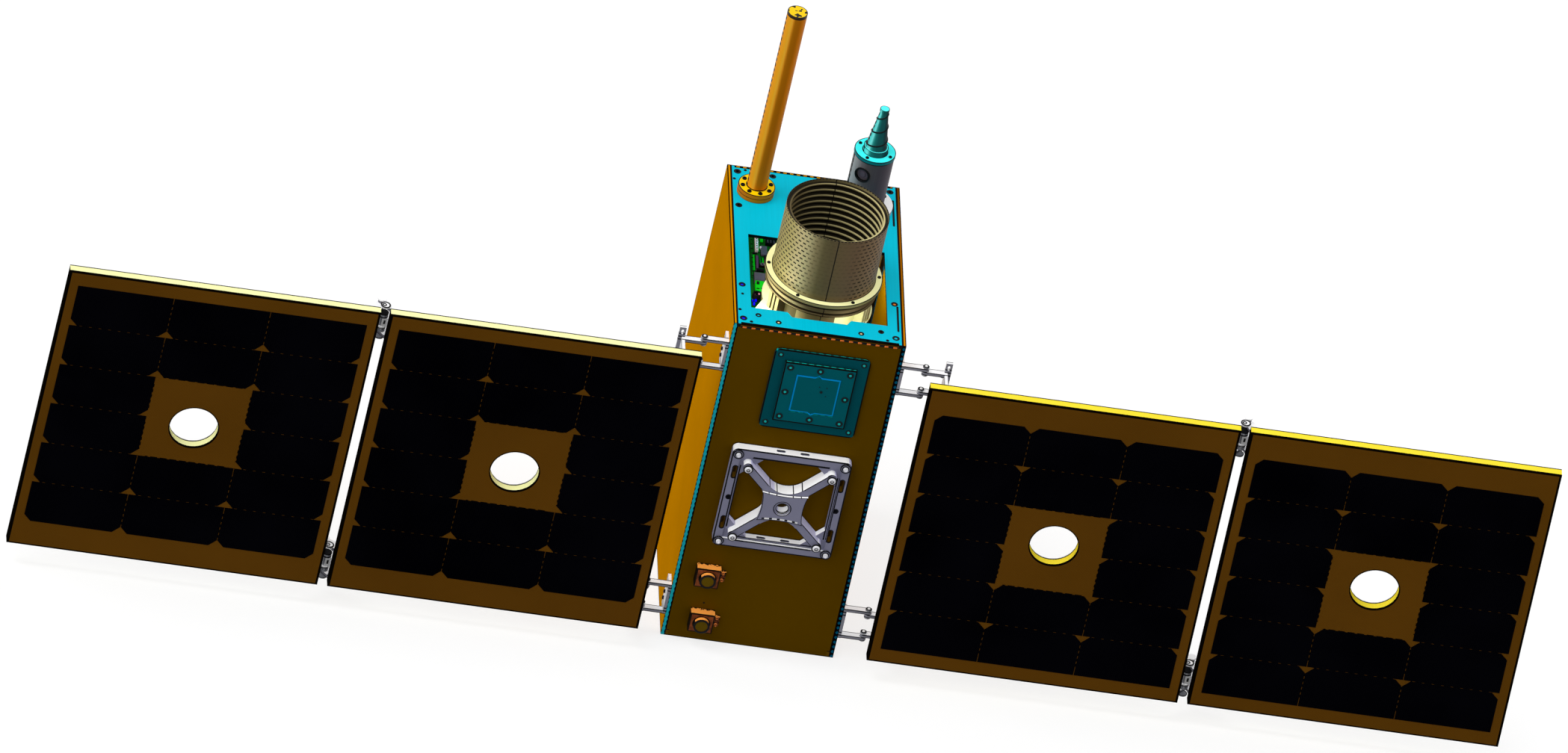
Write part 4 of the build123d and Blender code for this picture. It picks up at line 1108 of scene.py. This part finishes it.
# %% Screw shapes
def cap_screw(radius, height, socket=0.5, depth=0.6):
    chamfer = radius * 0.18
    return turned([
        (0, height * (1 - depth)), (radius * socket * 0.9, height * (1 - depth)),
        (radius * socket, height), (radius - chamfer, height), (radius, height - chamfer),
        (radius, -0.3), (0, -0.3)], 10)


def washer(outer, inner, height, sink=0.2):
    chamfer = min(0.25, (outer - inner) / 4)
    return turned([
        (inner, -sink), (inner, height - chamfer), (inner + chamfer, height),
        (outer - chamfer, height), (outer, height - chamfer), (outer, -sink), (inner, -sink)], 20)


def around(centre, radius, count, start=0.0):
    """Places evenly round a circle."""
    for step in range(count):
        angle = math.radians(start) + 2 * math.pi * step / count
        yield (centre[0] + radius * math.cos(angle), centre[1] + radius * math.sin(angle))


def in_mm(point):
    return tuple(c / MM for c in point)


def top_of(name):
    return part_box(name)[1][2] / MM


DECK_TOP, BOARD_TOP = top_of("deck"), top_of("circuit_boards")
FRONT_Y, BACK_Y = FRONT_FACE / MM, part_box("back_plate")[1][1] / MM
PANEL_BACK = FRONT_Y - 16.5
camera_at, mast_at, cone_at = (in_mm(place) for place in (CAMERA_AT, MAST_AT, CONE_AT))

# circle of screws: centre, radius, number, first angle, screw, what it stands on
BOLT_CIRCLES = (
    (mast_at, 12.1, 8, 12.0, (1.9, 1.2), "mast_flange"),
    (camera_at, 46.1, 6, 0.0, (1.55, 1.0), "camera_ring"),
    (cone_at, 14.2, 4, -30.0, (1.5, 1.1), "antenna_disc"),
    (cone_at, 20.6, 6, 30.0, (1.7, 1.2), "antenna_foot"))
deck_bolts = Kit("deck_bolts", "black_oxide")
for centre, radius, number, start, screw, seat in BOLT_CIRCLES:
    for x, y in around(centre, radius, number, start):
        deck_bolts.add(cap_screw(*screw), (x, y, top_of(seat)))
deck_bolts.done()


# %% [markdown]
# ## Inserts in the deck
# Every hole in the deck has a threaded insert with a dark rim. Some carry a coloured plug:
# blue, orange or pale. The tiny holes between them are tooling marks.

# %% Deck inserts and plugs
HALF_X, HALF_Y = 69.0, 109.0
# side, end, distance in from that side, distance in from that end, radius, plug
DECK_HOLES = (
    (-1, 1, 5.3, 8.0, 2.6, None), (-1, 1, 11.9, 5.0, 1.0, None), (-1, 1, 2.4, 18.4, 1.0, None),
    (-1, 1, 34.8, 8.4, 2.3, None), (-1, 1, 5.2, 54.2, 2.4, None),
    (-1, -1, 5.2, 54.9, 2.4, "anodised_blue"), (-1, -1, 5.2, 42.2, 0.9, None),
    (-1, -1, 2.5, 20.2, 1.1, None), (-1, -1, 5.2, 8.8, 2.6, "anodised_blue"),
    (-1, -1, 11.7, 5.2, 1.1, None), (-1, -1, 17.8, 15.4, 2.0, "deck_cyan"),
    (-1, -1, 34.5, 9.2, 2.0, "insert_cream"), (1, -1, 34.5, 9.2, 2.0, "insert_cream"),
    (1, -1, 17.8, 15.4, 2.0, None), (1, -1, 5.5, 9.4, 2.6, "deck_cyan"),
    (1, -1, 12.6, 4.7, 1.1, None), (1, -1, 5.5, 56.1, 2.4, "insert_orange"),
    (1, 1, 5.3, 8.0, 2.4, None),
)
PLUG_FINISHES = ("anodised_blue", "insert_orange", "insert_cream", "deck_cyan")
inserts = Kit("deck_inserts", "black_oxide")
plugs = {name: Kit(f"deck_plugs_{name}", name) for name in PLUG_FINISHES}
for side, end, inset_x, inset_y, radius, plug in DECK_HOLES:
    place = (side * (HALF_X - inset_x), end * (HALF_Y - inset_y), DECK_TOP)
    rim = 0.55 if radius > 1.5 else 0.35
    bore = radius * (0.62 if plug else 0.5)
    inserts.add(turned([
        (0, -2.0), (bore, -2.0), (bore, 0.15), (bore + 0.15, 0.3), (radius + rim - 0.15, 0.3),
        (radius + rim, 0.15), (radius + rim, 0.0), (radius - 0.05, 0.0), (radius - 0.05, -2.7),
        (0, -2.7)], 18), place)
    if plug:
        plugs[plug].add(turned([
            (0, -0.2), (bore - 0.3, -0.2), (bore - 0.1, -0.4), (bore - 0.1, -2.1), (0, -2.1)], 14), place)
for end, distance, length in ((1, 36.6, 36.0), (-1, 36.1, 35.0)):
    bar = milled(1.7, length - 0.1, 2.3, 0.3)
    inserts.add(bar, (HALF_X - 3.2, end * (HALF_Y - distance), DECK_TOP - 2.8))
inserts.done()
for kit in plugs.values():
    kit.done()


# %% [markdown]
# ## Contact strip
# Along the front of the deck runs a dark gasket with small orange spring contacts, bent a
# little to one side. They earth the deck to the front plate.

# %% Contact strip under the deck's front edge
strip = Kit("contact_strip", "black_oxide")
strip.add(milled(2 * HALF_X - 6.8, 0.6, 1.7, 0.15), (0, FRONT_Y - 0.25, DECK_TOP - 3.3))
strip.done()
contacts = Kit("contact_fingers", "contact_orange")
finger = milled(3.4, 0.7, 1.5, 0.2)
for step in range(18):
    contacts.add(finger, (-HALF_X + 6.4 + 7.4 * step, FRONT_Y - 0.5, DECK_TOP - 3.3), roll=7.0)
contacts.done()


# %% [markdown]
# ## The antenna's helix and port
# The cone carries a wire wound round it from base to tip. A small circle is spun with an
# upward step for each turn, and every ring of points is then drawn in to the cone's own
# radius at its height. The open ends are filled.

# %% Helix, port ring and port fittings
cone_low, cone_high = (corner[2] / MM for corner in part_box("antenna_cone"))
CONE_START, CONE_END = cone_low + 5.2, cone_high - 4.2
CONE_BASE_R, CONE_NECK_R = 8.9, 3.4
TURNS, STEPS = 2.6, 26
WIRE = 0.7


def cone_radius(height):
    share = (height - cone_low - 4.5) / (cone_high - cone_low - 6.9)
    return CONE_BASE_R + (CONE_NECK_R - CONE_BASE_R) * share


wire = bmesh.new()
bmesh.ops.create_circle(wire, cap_ends=False, segments=7, radius=WIRE * MM)
bmesh.ops.rotate(wire, verts=wire.verts, matrix=Matrix.Rotation(math.pi / 2, 3, "X"))
bmesh.ops.translate(wire, verts=wire.verts, vec=(CONE_BASE_R * MM, 0, CONE_START * MM))
count = int(TURNS * STEPS)
bmesh.ops.spin(
    wire, geom=wire.verts[:] + wire.edges[:], cent=(0, 0, 0), axis=(0, 0, 1),
    angle=2 * math.pi * TURNS, steps=count, dvec=(0, 0, (CONE_END - CONE_START) / count * MM))
for point in wire.verts:
    away = math.hypot(point.co.x, point.co.y)
    drawn = away / MM - CONE_BASE_R + cone_radius(point.co.z / MM)
    point.co.x *= drawn * MM / away
    point.co.y *= drawn * MM / away
bmesh.ops.holes_fill(wire, edges=[edge for edge in wire.edges if edge.is_boundary], sides=0)
bmesh.ops.rotate(wire, verts=wire.verts, matrix=Matrix.Rotation(math.radians(140), 3, "Z"))
helix = Kit("antenna_helix", "helix_dark")
helix.add(keep_mesh(wire, "helix"), (cone_at[0], cone_at[1], 0))
helix.done()

PORT_ANGLE = math.radians(-120)
PEDESTAL_RADIUS, PORT_DROP = 16.8, 13.0
port_out = (math.cos(PORT_ANGLE), math.sin(PORT_ANGLE), 0)
port_at = (
    cone_at[0] + port_out[0] * PEDESTAL_RADIUS, cone_at[1] + port_out[1] * PEDESTAL_RADIUS,
    DECK_TOP + PEDESTAL_HEIGHT / MM - PORT_DROP)
port = Kit("pedestal_port", "black_oxide")
port.add(washer(6.9, 5.4, 0.7, 1.6), port_at, port_out)
port.done()
port_core = Kit("pedestal_port_core", "port_dark")
port_core.add(turned([
    (0, -0.9), (2.2, -0.9), (2.5, -1.1), (2.5, -1.6), (4.6, -1.6), (4.9, -1.9), (4.9, -2.6),
    (0, -2.6)], 18), port_at, port_out)
port_core.done()


# %% [markdown]
# ## Screws on the front plate
# The patch antenna has eight screws round its board and four at the corners of its tray,
# all sunk in dark rings. The adapter frame has a washer and a screw at each corner, and a
# domed nut on each arm of its spider. The sensors have a thick black bezel and two screws
# in a lug.

# %% Patch, adapter and sensor fasteners
PATCH, TRAY_SCREW = (6.4, 265.0), 34.7
TRAY_FACE, BOARD_FACE = FRONT_Y - 2.6, FRONT_Y - 5.6
patch_rings = Kit("patch_screw_rings", "patch_black")
patch_screws = Kit("patch_screws", "contact_teal")
for dx in (-25.0, 0.0, 25.0):
    for dz in (-25.0, 0.0, 25.0):
        if dx or dz:
            place = (PATCH[0] + dx, BOARD_FACE, PATCH[1] + dz)
            patch_rings.add(washer(3.0, 1.1, 0.5), place, FRONT)
            patch_screws.add(cap_screw(1.25, 0.45, 0.45, 0.7), place, FRONT)
for sx, sz in CORNERS:
    place = (PATCH[0] + sx * TRAY_SCREW, TRAY_FACE, PATCH[1] + sz * TRAY_SCREW)
    patch_rings.add(washer(2.5, 1.2, 0.45), place, FRONT)
    patch_screws.add(cap_screw(1.2, 0.4, 0.3, 0.7), place, FRONT)
feed = turned([(0, 0.9), (0.9, 0.9), (1.2, 0.6), (1.2, -0.3), (0, -0.3)], 12)
patch_rings.add(feed, (PATCH[0] + 4.3, BOARD_FACE, PATCH[1] + 4.5), FRONT)
dot = turned([(0, 0.3), (0.5, 0.3), (0.5, -0.3), (0, -0.3)], 8)
for dx, dz in ((8.4, 9.2), (8.6, 0.8), (2.2, 9.4)):
    patch_rings.add(dot, (PATCH[0] + dx, BOARD_FACE, PATCH[1] + dz), FRONT)
patch_rings.done()
patch_screws.done()

ADAPTER_Z, FRAME_SCREW, SPIDER_NUT = 154.0, 44.7, 35.0
FRAME_FACE, SPIDER_FACE = FRONT_Y - 10.2, FRONT_Y - 15.8
adapter_dark = Kit("adapter_rings", "black_oxide")
adapter_light = Kit("adapter_screws", "bolt_steel")
domed = turned([
    (0, 0.9), (1.3, 0.9), (1.4, 1.7), (2.3, 1.5), (3.0, 0.8), (3.1, 0.0), (3.1, -0.4), (0, -0.4)], 16)
for sx, sz in CORNERS:
    corner = (sx * FRAME_SCREW, FRAME_FACE, ADAPTER_Z + sz * FRAME_SCREW)
    adapter_dark.add(washer(4.5, 3.6, 0.3), corner, FRONT)
    adapter_dark.add(washer(3.1, 1.0, 0.25), corner, FRONT)
    adapter_light.add(cap_screw(2.1, 1.9, 0.4, 0.5), corner, FRONT)
    nut = (sx * SPIDER_NUT, SPIDER_FACE, ADAPTER_Z + sz * SPIDER_NUT)
    adapter_dark.add(washer(4.1, 2.6, 0.4), nut, FRONT)
    adapter_dark.add(washer(1.7, 1.1, 1.75, -1.2), nut, FRONT)
    adapter_light.add(domed, nut, FRONT)
cup_at = (0, SPIDER_FACE, ADAPTER_Z)
adapter_dark.add(washer(7.6, 6.9, 0.15), cup_at, FRONT)
adapter_dark.add(washer(5.5, 4.9, -0.4, 1.0), cup_at, FRONT)
adapter_dark.done()
adapter_light.done()
bushing = Kit("adapter_bushing", "spider_lilac")
bushing.add(washer(6.85, 5.4, -0.5, 9.0), cup_at, FRONT)
bushing.done()

# %% Sensor bezels
sensor_dark = Kit("sensor_bezels", "black_oxide")
sensor_screws = Kit("sensor_screws", "copper")
for name in ("upper_sensor", "lower_sensor"):
    low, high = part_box(f"{name}_lens")
    lens_at = in_mm(((low[0] + high[0]) / 2, low[1], (low[2] + high[2]) / 2))
    sensor_dark.add(washer(6.8, 5.2, 0.7, 0.4), lens_at, FRONT)
    low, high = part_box(name)
    lug_x, middle_z = high[0] / MM - 2.4, (low[2] + high[2]) / 2 / MM
    for dz in (-3.4, 3.4):
        sensor_screws.add(cap_screw(1.5, 1.6, 0.5, 0.7), (lug_x, FRONT_Y - 3.0, middle_z + dz), FRONT)
sensor_dark.add(washer(0.9, 0.2, 0.2), (-42.8, FRONT_Y, 37.4), FRONT)
sensor_dark.done()
sensor_screws.done()


# %% [markdown]
# ## Electronics under the deck
# Through the left of the opening the top circuit board shows: a bright edge strip, a white
# connector, two dark chips, a bright green power module with black marks, and a round
# connector with blue leads beside it.

# %% Parts on the top board
BOARD_PARTS = {
    # finish: (x, y, width, depth, height)
    "solder_green": (
        (-47.2, 14.5, 1.3, 21.0, 0.9), (-39.9, 46.8, 2.2, 6.0, 1.2), (-39.5, 17.0, 1.0, 10.0, 0.9),
        (-41.2, -22.0, 12.4, 14.0, 4.6), (-44.0, -10.4, 1.2, 2.6, 0.9)),
    "solder_dark": (
        (-48.6, 21.5, 1.0, 55.0, 0.7), (-42.2, 39.5, 1.5, 19.0, 1.0), (-41.7, 17.0, 1.4, 10.0, 0.9),
        (-45.0, -3.0, 3.0, 2.4, 0.8)),
    "plug_white": (
        (-44.7, 39.0, 2.4, 20.0, 3.4), (-41.3, 35.0, 1.4, 1.4, 2.4), (-48.6, -29.4, 1.2, 1.6, 2.2)),
    "chip_grey": (
        (-38.5, 31.5, 5.0, 12.0, 2.0), (-43.1, -7.0, 9.0, 11.0, 3.0), (-45.0, 4.0, 2.0, 2.0, 1.6)),
    "flex_purple": ((-44.4, 15.5, 1.9, 18.0, 1.2), (-43.1, -13.4, 9.0, 1.0, 2.0)),
    "lead_blue": (
        (-47.1, -37.9, 1.9, 2.6, 1.6), (-48.6, -42.7, 1.7, 3.2, 1.6), (-49.5, -38.4, 1.2, 1.8, 1.4)),
    "plug_pink": ((-44.4, -31.2, 1.4, 1.8, 3.4), (-43.0, 44.0, 1.0, 2.0, 1.4)),
}
marks = Kit("board_black_parts", "black_oxide")
for finish, places in BOARD_PARTS.items():
    kit = Kit(f"board_{finish}_parts", finish)
    for x, y, width, depth, height in places:
        edge = min(0.25, width * 0.15)
        kit.add(milled(width, depth, height, edge), (x, y, BOARD_TOP))
        marks.add(milled(width + 0.9, depth + 0.9, 0.35, 0.1), (x, y, BOARD_TOP))
    kit.done()

# black parts: x, y, width, depth, height
for x, y, width, depth, height in (
    (-32.6, 43.5, 9.0, 7.0, 3.2), (-40.6, 10.6, 5.0, 3.4, 2.4), (-42.4, 4.2, 6.6, 2.6, 2.2),
    (-47.6, 50.6, 5.0, 2.0, 1.6), (-37.4, 20.0, 2.4, 16.0, 1.2), (-46.0, 27.4, 3.6, 1.6, 1.4),
):
    marks.add(milled(width, depth, height, 0.25), (x, y, BOARD_TOP))
# marks on the power module: x, y, width, depth
for x, y, width, depth in (
    (-45.4, -18.6, 2.2, 3.8), (-40.4, -25.6, 5.4, 1.3), (-39.0, -19.4, 1.2, 4.6),
    (-45.6, -26.4, 2.6, 1.0), (-36.6, -23.4, 1.0, 3.0),
):
    marks.add(milled(width, depth, 0.5, 0.12), (x, y, BOARD_TOP + 4.6))
for step in range(9):
    marks.add(milled(1.5, 0.7, 1.1, 0.1), (-48.4, -4.0 + 6.2 * step, BOARD_TOP))
for step in range(6):
    marks.add(milled(0.8, 0.8, 0.6, 0.1), (-44.7, 31.0 + 3.2 * step, BOARD_TOP + 3.3))
marks.done()

dots = Kit("board_pins", "chip_grey")
for column in range(3):
    for row in range(3):
        dots.add(milled(1.0, 1.0, 0.7, 0.15), (-35.4 + 2.6 * column, 41.6 + 2.0 * row, BOARD_TOP + 3.1))
dots.add(washer(1.7, 1.0, 0.6), (-40.5, 11.0, BOARD_TOP + 2.4))
dots.done()

SOCKET_AT = (-46.2, -32.6, BOARD_TOP)
socket = Kit("board_socket", "black_oxide")
socket.add(turned([
    (0, 1.6), (1.2, 1.6), (1.4, 2.6), (1.9, 2.6), (2.1, 1.6), (2.6, 1.6), (2.8, 4.6), (3.6, 4.6),
    (3.9, 4.2), (4.0, 0.0), (0, 0.0)], 20), SOCKET_AT)
socket.done()
ring_pink = Kit("board_socket_ring", "plug_pink")
ring_pink.add(washer(2.6, 2.0, 2.2), SOCKET_AT)
ring_pink.done()


# %% [markdown]
# ## Root hinges: circlips, screws and cord loops
# Each pin has a circlip at both ends and a bright cap in its head. Dark screws hold the fork
# to the body. Loops of round wire on the fork guide the cord that releases the wing; they are
# made as the antenna's helix is, a small circle spun about an axis.

# %% Fittings of the root hinges
def coil(radius, wire_radius, turns, pitch, steps=16):
    """A coil of round wire from z = 0 upward, in millimetres."""
    shape = bmesh.new()
    bmesh.ops.create_circle(shape, cap_ends=False, segments=6, radius=wire_radius * MM)
    bmesh.ops.rotate(shape, verts=shape.verts, matrix=Matrix.Rotation(math.pi / 2, 3, "X"))
    bmesh.ops.translate(shape, verts=shape.verts, vec=(radius * MM, 0, 0))
    count = int(turns * steps)
    bmesh.ops.spin(
        shape, geom=shape.verts[:] + shape.edges[:], cent=(0, 0, 0), axis=(0, 0, 1),
        angle=2 * math.pi * turns, steps=count, dvec=(0, 0, pitch * turns / count * MM))
    bmesh.ops.holes_fill(shape, edges=[edge for edge in shape.edges if edge.is_boundary], sides=0)
    return keep_mesh(shape, "coil")


ROOT_HEIGHT, ROOT_ARM, ROOT_PLAY, PIN_HEAD = 29.4, 2.7, 0.4, 1.2
PIN_SPAN = 2 * (ROOT_ARM + ROOT_PLAY)
pin_cap = turned([(0, 0.7), (0.9, 0.7), (1.2, 0.4), (1.2, -0.2), (0, -0.2)], 12)
for side, sign in (("left", -1), ("right", 1)):
    pin_x, pin_y = in_mm(axis_of(f"{side}_root_pins"))
    clips = Kit(f"{side}_root_clips", "black_oxide")
    caps = Kit(f"{side}_root_caps", "latch_white")
    for bottom in ROOT_BOTTOMS:
        for low in (bottom, bottom + ROOT_HEIGHT - PIN_SPAN):
            for z, toward in ((low - PIN_HEAD, DOWN), (low + PIN_SPAN + PIN_HEAD, UP)):
                clips.add(washer(2.6, 1.3, 0.3), (pin_x, pin_y, z), toward)
                caps.add(pin_cap, (pin_x, pin_y, z), toward)
    clips.done()
    caps.done()

    bracket = Kit(f"{side}_root_screws", "black_oxide")
    screw = cap_screw(1.7, 1.3, 0.5, 0.7)
    for bottom in ROOT_BOTTOMS:
        for z in (8.2, 14.7, 21.2):
            bracket.add(screw, (sign * 74.5, FRONT_Y + 11.4, bottom + z), (sign, 0, 0))
    bracket.done()

    fork = Kit(f"{side}_fork_details", "bolt_steel", f"{side}_inner_wing")
    for bottom in ROOT_BOTTOMS:
        for z in (8.4, 21.0):
            fork.add(cap_screw(1.6, 1.2, 0.5, 0.7), (sign * 119.4, PANEL_BACK + 2.2, bottom + z), BACK)
    fork.done()

    loops = Kit(f"{side}_fork_loops", "spring_steel", f"{side}_inner_wing")
    for bottom in ROOT_BOTTOMS:
        for z in (7.0, 22.4):
            loops.add(coil(2.3, 0.45, 1, 0.0, 18), (sign * 108.0, -104.0, bottom + z), BACK)
    loops.done()


# %% [markdown]
# ## Hinges between the panels
# A spring winds round the pin of each mid hinge. In front of it, in the gap between the
# panels, stands the latch that holds the wing open: a grey column with black washers, a white
# body with an oval window, and a white cap on the upper lug. It would be turned in sections
# and screwed to the inner fork. It rides with the inner panel and stays between the lugs, so
# the outer fork swings clear of it.

# %% Mid hinge stacks
def points_of(geometry):
    return [item for item in geometry if isinstance(item, bmesh.types.BMVert)]


def latch_plate(width, height, thick, slot_width, slot_height):
    """A plate standing on z = 0 with an oval window, facing -Y."""
    shape = bmesh.new()
    bmesh.ops.create_circle(shape, cap_ends=False, segments=20, radius=0.5)
    for point in shape.verts:
        lift = 1 if point.co.y > 0 else -1
        point.co.x *= slot_width * MM
        point.co.y = point.co.y * slot_width * MM + lift * (slot_height - slot_width) / 2 * MM
    for point in points_of(bmesh.ops.extrude_edge_only(shape, edges=shape.edges[:])["geom"]):
        x, y = point.co.x, point.co.y
        reach = max(abs(x) / (width / 2 * MM), abs(y) / (height / 2 * MM))
        point.co.x, point.co.y = x / reach, y / reach
    face = bmesh.ops.extrude_face_region(shape, geom=shape.faces[:])["geom"]
    bmesh.ops.translate(shape, verts=points_of(face), vec=(0, 0, thick * MM))
    bmesh.ops.translate(shape, verts=shape.verts, vec=(0, height / 2 * MM, 0))
    bmesh.ops.rotate(shape, verts=shape.verts, matrix=Matrix.Rotation(math.pi / 2, 3, "X"))
    return keep_mesh(shape, "latch_plate")


def knuckle(radius, height, groove):
    """A bored sleeve with a groove round its middle."""
    return turned([
        (1.55, 0), (radius - 0.3, 0), (radius, 0.3), (radius, height * 0.35),
        (radius - groove, height * 0.35 + 0.2), (radius - groove, height * 0.65 - 0.2),
        (radius, height * 0.65), (radius, height - 0.3), (radius - 0.3, height), (1.55, height),
        (1.55, 0)], 18)


LATCH_X, LATCH_Y = 359.2, PANEL_BACK + 3.8
MID_HEIGHT, MID_LUG = 30.0, 2.6
screw = cap_screw(1.4, 1.0, 0.5, 0.7)
for side, sign in (("left", -1), ("right", 1)):
    pin_x, pin_y = in_mm(axis_of(f"{side}_mid_hinge_pins"))
    latch_x = sign * LATCH_X
    light = Kit(f"{side}_mid_latches", "latch_white", f"{side}_inner_wing")
    dark = Kit(f"{side}_mid_spacers", "black_oxide", f"{side}_inner_wing")
    grey = Kit(f"{side}_mid_sleeves", "pin_steel", f"{side}_inner_wing")
    coils = Kit(f"{side}_mid_springs", "spring_steel", f"{side}_inner_wing")
    screws = {
        place: Kit(f"{side}_mid_screws_{place}", "bolt_steel", f"{side}_{place}_wing")
        for place in ("inner", "outer")}
    for bottom in MID_BOTTOMS:
        low = bottom + 2 * MID_LUG + 0.6
        top = bottom + MID_HEIGHT
        coils.add(coil(2.6, 0.5, 10, 1.6), (pin_x, pin_y, low + 0.8))
        grey.add(knuckle(3.9, 3.8, 0.6), (latch_x, LATCH_Y, low))
        grey.add(knuckle(3.9, 2.0, 0.4), (latch_x, LATCH_Y, low + 15.4))
        grey.add(disc(2.6, 8.9), (latch_x, LATCH_Y, low + 5.6))
        for z, tall in ((3.8, 0.8), (14.5, 0.9), (17.4, 1.0)):
            dark.add(disc(4.1, tall), (latch_x, LATCH_Y, low + z))
        light.add(disc(4.1, 1.0), (latch_x, LATCH_Y, low + 4.6))
        light.add(latch_plate(4.6, 8.9, 0.9, 1.8, 4.4), (latch_x + 1.6, LATCH_Y - 2.2, low + 5.6))
        dark.add(milled(1.7, 4.3, 0.5, 0.2), (latch_x + 1.6, LATCH_Y - 2.4, low + 10.05), FRONT)
        light.add(disc(4.0, 1.5), (latch_x, LATCH_Y, top))
        dark.add(washer(4.3, 3.1, 0.5, 0.1), (latch_x, LATCH_Y, top + 1.5))
        dark.add(washer(1.9, 0.9, 0.5, 0.1), (latch_x - 0.9, LATCH_Y, top + 1.5))
        grey.add(disc(4.1, 0.9), (latch_x, LATCH_Y, bottom - 0.9))
        dark.add(washer(4.3, 3.6, 0.3, 0.1), (latch_x, LATCH_Y, bottom))
        for place, edge, toward in (("inner", 355.0, -1), ("outer", 363.4, 1)):
            for z in (7.0, 15.0, 23.0):
                for away in (6.0, 15.0):
                    x = sign * (edge + toward * away)
                    screws[place].add(screw, (x, PANEL_BACK + 2.0, bottom + z), BACK)
    for kit in (light, dark, grey, coils, *screws.values()):
        kit.done()


# %% [markdown]
# ## Backs of the panels
# The back of each panel is bare carbon cloth. Round the hole is a bonded ring, small potted
# inserts stand in rows, a flat copper flex runs from the middle to the hinge line under
# strips of tape, and two small diode boards sit beside it.

# %% Inserts, flex and diode boards on the panel backs
# flex: width, height, distance from the panel's middle toward the body
FLEX_RUNS = ((74.0, 9.0, 72.0), (9.0, 74.0, 40.0), (9.0, 60.0, 112.0))
for side, sign in (("left", -1), ("right", 1)):
    for place in ("inner", "outer"):
        low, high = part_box(f"{side}_{place}_panel")
        mid_x, mid_z = (low[0] + high[0]) / 2 / MM, (low[2] + high[2]) / 2 / MM
        body = f"{side}_{place}_wing"
        rings = Kit(f"{side}_{place}_back_ring", "ring_metal", body)
        rings.add(washer(27.0, 20.2, 1.0, 0.1), (mid_x, PANEL_BACK, mid_z), BACK)
        for x, z in around((mid_x, mid_z), 23.6, 8, 22.5):
            rings.add(cap_screw(1.3, 0.9, 0.5, 0.6), (x, PANEL_BACK + 1.0, z), BACK)
        rings.done()
        potted = Kit(f"{side}_{place}_back_inserts", "potting_black", body)
        dot = washer(3.2, 1.3, 0.5, 0.1)
        for column in range(-2, 3):
            for row in range(-2, 3):
                if column or row:
                    potted.add(dot, (mid_x + column * 48.0, PANEL_BACK, mid_z + row * 52.0), BACK)
        board = milled(16.0, 11.0, 3.4, 0.5, 2)
        for step in (-1, 1):
            potted.add(board, (mid_x - sign * 40.0, PANEL_BACK, mid_z + step * 26.0), BACK)
        potted.done()
        flex_run = Kit(f"{side}_{place}_back_flex", "flex_copper", body)
        for width, height, away in FLEX_RUNS:
            flex_run.add(milled(width, height, 0.5), (mid_x - sign * away, PANEL_BACK, mid_z), BACK)
        flex_run.done()


# %% [markdown]
# ## Plates at the back and on the right
# The side toward the launcher has two capped service connectors and a vented cover, and
# small screws run round the edges of the back plate and under the base.

# %% Back plate and base details
plate_screws = Kit("plate_screws", "black_oxide")
flush = cap_screw(1.5, 0.9, 0.5, 0.7)
for sx in (-1, 1):
    for step in range(8):
        plate_screws.add(flush, (sx * 62.0, BACK_Y, 14.0 + 42.0 * step), BACK)
for step in range(4):
    for z in (8.0, 315.0):
        plate_screws.add(flush, (-41.4 + 27.6 * step, BACK_Y, z), BACK)
for sx, sy in CORNERS:
    for x, y in ((60.0, 60.0), (30.0, 100.0), (60.0, 20.0)):
        plate_screws.add(flush, (sx * x, sy * y, 1.0), DOWN)
plate_screws.done()

PORTS_AT = ((-26.0, 86.0), (26.0, 86.0))
ports = Kit("service_connectors", "bolt_steel")
pins = Kit("service_pins", "insert_orange")
for x, z in PORTS_AT:
    ports.add(turned([
        (0, 2.4), (5.6, 2.4), (6.0, 2.8), (6.0, 5.8), (7.0, 5.8), (7.6, 5.2), (7.6, 2.6), (9.4, 2.4),
        (10.4, 1.6), (10.4, -0.3), (0, -0.3)], 28), (x, BACK_Y, z), BACK)
    for px, pz in around((x, z), 9.0, 4, 45.0):
        ports.add(cap_screw(0.9, 0.7, 0.5, 0.6), (px, BACK_Y + 2.3, pz), BACK)
    for radius, number in ((1.6, 3), (3.8, 8)):
        for px, pz in around((x, z), radius, number):
            pins.add(turned([(0, 2.4), (0.3, 2.2), (0.4, 0), (0, 0)], 6), (px, BACK_Y + 2.4, pz), BACK)
ports.done()
pins.done()
cover = Kit("vent_cover", "front_olive")
cover.add(milled(64.0, 44.0, 2.4, 0.6, 2), (0, BACK_Y, 210.0), BACK)
for step in range(7):
    cover.add(milled(48.0, 2.2, 1.2, 0.5, 2), (0, BACK_Y + 2.4, 195.0 + 5.0 * step), BACK)
cover.done()


# %% [markdown]
# ## Light under the deck
# The opening in the deck lets little light in past the camera, so three small soft lamps hang
# under the deck, out of sight, and bring the boards and the walls up to the plain level.

# %% Lamps inside the body
for name, place, power in (
    ("inside_left", (-58, -68, 316), 0.06), ("inside_right", (40, 52, 300), 0.25),
    ("inside_front", (30, -88, 314), 0.02),
):
    data = bpy.data.lights.new(name, "POINT")
    data.energy = power
    data.shadow_soft_size = 0.006
    lamp = bpy.data.objects.new(name, data)
    lamp.location = Vector(place) * MM
    lamp.visible_camera = False
    lamp.visible_glossy = False
    scene.collection.objects.link(lamp)
